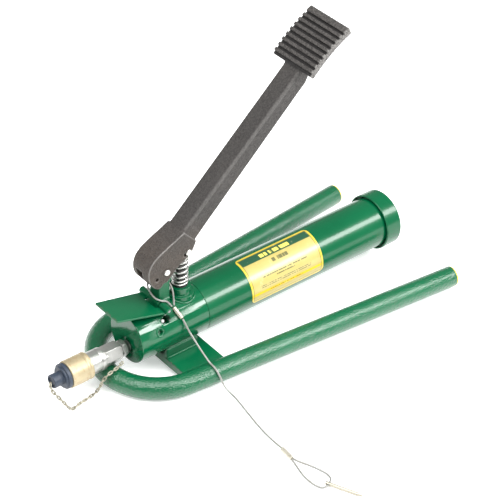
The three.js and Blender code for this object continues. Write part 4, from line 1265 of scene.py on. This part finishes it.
# ---- release pedal ----
# A plate of 3 mm sheet welded to two short barrels, which turn on a rod through the post's foot.
# Stepping on its free edge pushes a sprung rod down into the block and lets the oil back.
RELEASE_REACH = 86.5
RELEASE_SLOPE = math.radians(15)
RELEASE_THICK = 3
BARREL_R = 5.2
ROD_SPRING = (84.3, 99.2)

plan = [
    (3, -29), (RELEASE_REACH - 3, -25.7), (RELEASE_REACH, -25.6), (RELEASE_REACH, 25.6),
    (RELEASE_REACH - 3, 25.7), (3, 29), (3, 13.2), (11, 13.2), (11, -13.2), (3, -13.2),
]
plate = slab("release_plate", eased(plan, 2.6, closed=True), -RELEASE_THICK, 0, edge=0.7)
for vertex in plate.data.vertices:
    out = (vertex.co.x - FRONT_X) / MM
    up = vertex.co.z / MM
    x = HINGE_X - out * math.cos(RELEASE_SLOPE) + up * math.sin(RELEASE_SLOPE)
    z = HINGE_Z - 2.3 + out * math.sin(RELEASE_SLOPE) + up * math.cos(RELEASE_SLOPE)
    vertex.co = metres((x, vertex.co.y / MM, z))
barrels = []
for y0, y1 in ((-32, -13), (13, 32)):
    barrel = plain(y0, y1, BARREL_R, 2.6)
    barrels.append(turned("barrel", barrel, *HINGE_LINE, edge=0.6, sides=48))
release = joined("release_plate_and_barrels", [plate] + barrels)
edited(release.data, faced_out)
release_enamel = enamel("release_enamel", 380, 0.00009, 0.3, [("X", -33, 1.5)])
fit(release, release_enamel, "release_pedal", body="release_pedal")

hinge_rod = turned("hinge_rod", plain(-31.5, 31.5, 2.2), *HINGE_LINE, edge=0.5, sides=32)
fit(hinge_rod, plain_steel, "release_hinge_pin")
rod_profile = [
    (60, 0), (60, 3), (99.5, 3), (99.5, 5.5), (101.3, 5.5), (101.3, 3), (103.3, 3), (104.5, 2), (105, 0),
]
release_rod = turned("valve_rod", rod_profile, (RELEASE_ROD_X, 0, 0), (0, 0, 1), edge=0.3, sides=40)
fit(release_rod, plain_steel, "release_rod", body="release_rod")
rod_spring = coil("valve_spring", RELEASE_ROD_X, *ROD_SPRING, 4.8, 0.5, 5, sides=10)
fit(rod_spring, plain_steel, "release_spring", sharp=60)
rod_anchor = metres((RELEASE_ROD_X, 0, ROD_SPRING[0]))
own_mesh(rod_spring)

# ---- outlet coupler ----
# A hexagon adapter screws into the block, and the quick coupler's plated body screws onto it.
# The sleeve over the coupler's mouth is zinc plated and passivated to a warm straw colour.
adapter = hexagon("adapter_hexagon", -13.5, -4.5, PORT_Z, 22.2)
neck_profile = [(-16, 0), (-16, 9), (-9, 9), (-9, 8.4), (1.2, 8.4), (1.2, 6.9), (14, 6.9), (14, 0)]
neck = turned("neck", neck_profile, *PORT_LINE, edge=0.4, sides=64)
adapter = worked(adapter, "UNION", neck)
fit(adapter, bright_steel, "outlet_adapter", sharp=25)

coupler = hexagon("coupler_hexagon", -43, -16, PORT_Z, 27, chamfer=0.07)
barrel_profile = [
    (-101.5, 9.6), (-101.5, 14.5), (-67, 14.5), (-67, 16.2), (-44, 16.2), (-43, 13.9), (-39, 13.9),
    (-39, 9.6),
]
barrel = turned("barrel", barrel_profile, *PORT_LINE, edge=0.6, sides=96)
groove = turned("groove", plain(-52, -50, 18, 15.2), *PORT_LINE, sides=96)
worked(coupler, "UNION", barrel)
worked(coupler, "DIFFERENCE", groove)
fit(coupler, bright_steel, "coupler_body", sharp=25)


def straw_zinc():
    zinc = Finish("straw_zinc", {"Coat Weight": 0.2, "Coat Roughness": 0.2}, "yellow_zinc")
    marks = zinc.noise(1.0, 2.0, 0.6, zinc.stretched((900, 40, 40)))
    cloud = zinc.noise(60, 4.0, 0.6)
    stain = zinc.noise(140, 4.0, 0.65).above(0.58, 0.08)
    plated = zinc.mix(cloud, srgb(154, 140, 108), srgb(188, 175, 144))
    zinc.set("Base Color", zinc.mix(stain * 0.5, plated, srgb(146, 116, 76)))
    zinc.set("Roughness", 0.4 + 0.12 * cloud + 0.06 * marks)
    zinc.set("Metallic", 0.55 - 0.2 * stain)
    zinc.bump(marks, 0.00001)
    return zinc


sleeve_profile = [
    (-102, 14.9), (-102, 19), (-101.2, 19.8), (-76, 19.8), (-75, 19), (-72, 19), (-71, 19.8),
    (-68.1, 19.8), (-67.3, 19), (-67.3, 14.9),
]
sleeve = turned("coupler_collar", sleeve_profile, *PORT_LINE, edge=0.5, sides=96)
fit(sleeve, straw_zinc(), "coupler_sleeve", body="coupler_sleeve")

# ---- dust cap and keeper chain ----
# A moulded rubber cap closes the coupler's mouth. Its chain of small plated links hangs down to
# the floor and comes back to a wire ring round the adapter, which the screwed joint traps.
LINK_LENGTH = 9.4
LINK_WIDTH = 5.0
LINK_WIRE = 0.95
CHAIN_ROUTE = [
    (-124.6, 0, 45), (-128.5, -1.5, 44), (-130, -6, 39), (-126, -13, 30), (-119, -19.5, 18),
    (-113, -22, 8), (-106, -21, 3), (-92, -17.5, 2.6), (-76, -15.5, 2.6), (-66, -16, 6),
    (-59.5, -19, 17), (-55, -21.5, 28), (-46, -22.5, 34.6), (-32, -20.5, 36.5), (-18.5, -17, 38.5),
]
dust_cap_profile = [
    (-123.5, 0), (-123.5, 7.6), (-126, 7.6), (-126, 9.2), (-125.2, 10), (-111, 10), (-111, 15.4),
    (-110.4, 16), (-108, 16), (-108, 18.5), (-102.6, 18.5), (-102.6, 9.2), (-89, 9.2), (-88, 8.2),
    (-88, 0),
]
dust_cap = turned("rubber_dust_cap", dust_cap_profile, *PORT_LINE, edge=0.9, sides=80)
blue_rubber = moulded_rubber("blue_rubber", srgb(34, 42, 54), srgb(50, 60, 75), 0.45)
fit(dust_cap, blue_rubber, "dust_cap", body="dust_cap")

ring_line = []
for angle in circle(64):
    ring_line.append(Vector((-14.75, 10.9 * math.cos(angle), PORT_Z + 10.9 * math.sin(angle))))
anchor = sweep("chain_ring", ring_line, 0.8, sides=12, closed=True)
fit(anchor, bright_steel, "chain_anchor", sharp=60)


def chain_link(centre, along, roll):
    """One oval link: two half rounds joined by straight wires."""
    half_width = LINK_WIDTH / 2 - LINK_WIRE
    half_straight = LINK_LENGTH / 2 - LINK_WIDTH / 2
    side = along.cross(Vector((0, 0, 1)))
    if side.length < 0.2:
        side = along.cross(Vector((0, 1, 0)))
    side = Quaternion(along, roll) @ side.normalized()
    line = []
    for end, start in ((1, -90), (-1, 90)):
        for step in range(11):
            angle = math.radians(start + 18 * step)
            line.append(centre + (end * half_straight + half_width * math.cos(angle)) * along
                        + half_width * math.sin(angle) * side)
    return sweep("link", line, LINK_WIRE, sides=8, closed=True)


def chain(points):
    """Links laid along a route, each turned a quarter from the one before."""
    line = route(points, 12)
    pitch = LINK_LENGTH - 4 * LINK_WIRE
    distances = [0.0]
    for a, b in zip(line, line[1:]):
        distances.append(distances[-1] + (b - a).length)
    count = round((distances[-1] - LINK_LENGTH) / pitch) + 1
    spacing = (distances[-1] - LINK_LENGTH) / (count - 1)
    links = []
    for number in range(count):
        goal = LINK_LENGTH / 2 + number * spacing
        i = next(k for k, distance in enumerate(distances) if distance >= goal)
        share = (goal - distances[i - 1]) / (distances[i] - distances[i - 1])
        centre = line[i - 1].lerp(line[i], share)
        along = (line[min(i + 3, len(line) - 1)] - line[max(i - 3, 0)]).normalized()
        links.append(chain_link(centre, along, math.radians(45 + 90 * (number % 2))))
    return joined("link_chain", links)


keeper = chain(CHAIN_ROUTE)
chain_steel = metal("chain_steel", srgb(118, 114, 98), srgb(172, 168, 152), 0.3, (400, 400, 400))
finished(keeper, chain_steel, 60)
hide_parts("keeper_chain")
metres(CHAIN_ROUTE[1])
metres(CHAIN_ROUTE[-2])
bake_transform(keeper)

# ---- inner parts ----
# Valve balls, springs, the intake and the seals are shut inside the block, the reservoir and
# the coupler. They keep the frame's own solids and get the finish of their real material.
INNER_FINISHES = {
    bright_steel: ["outlet_check_ball", "intake_check_ball", "relief_ball"],
    plain_steel: [
        "outlet_check_spring", "intake_tube", "intake_screen", "relief_spring", "coupler_poppet",
        "poppet_spring",
    ],
    black_rubber: ["reservoir_seal_front", "reservoir_seal_rear"],
}
for finish, names in INNER_FINISHES.items():
    for name in names:
        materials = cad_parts[name].data.materials
        materials.clear()
        materials.append(finish.material)
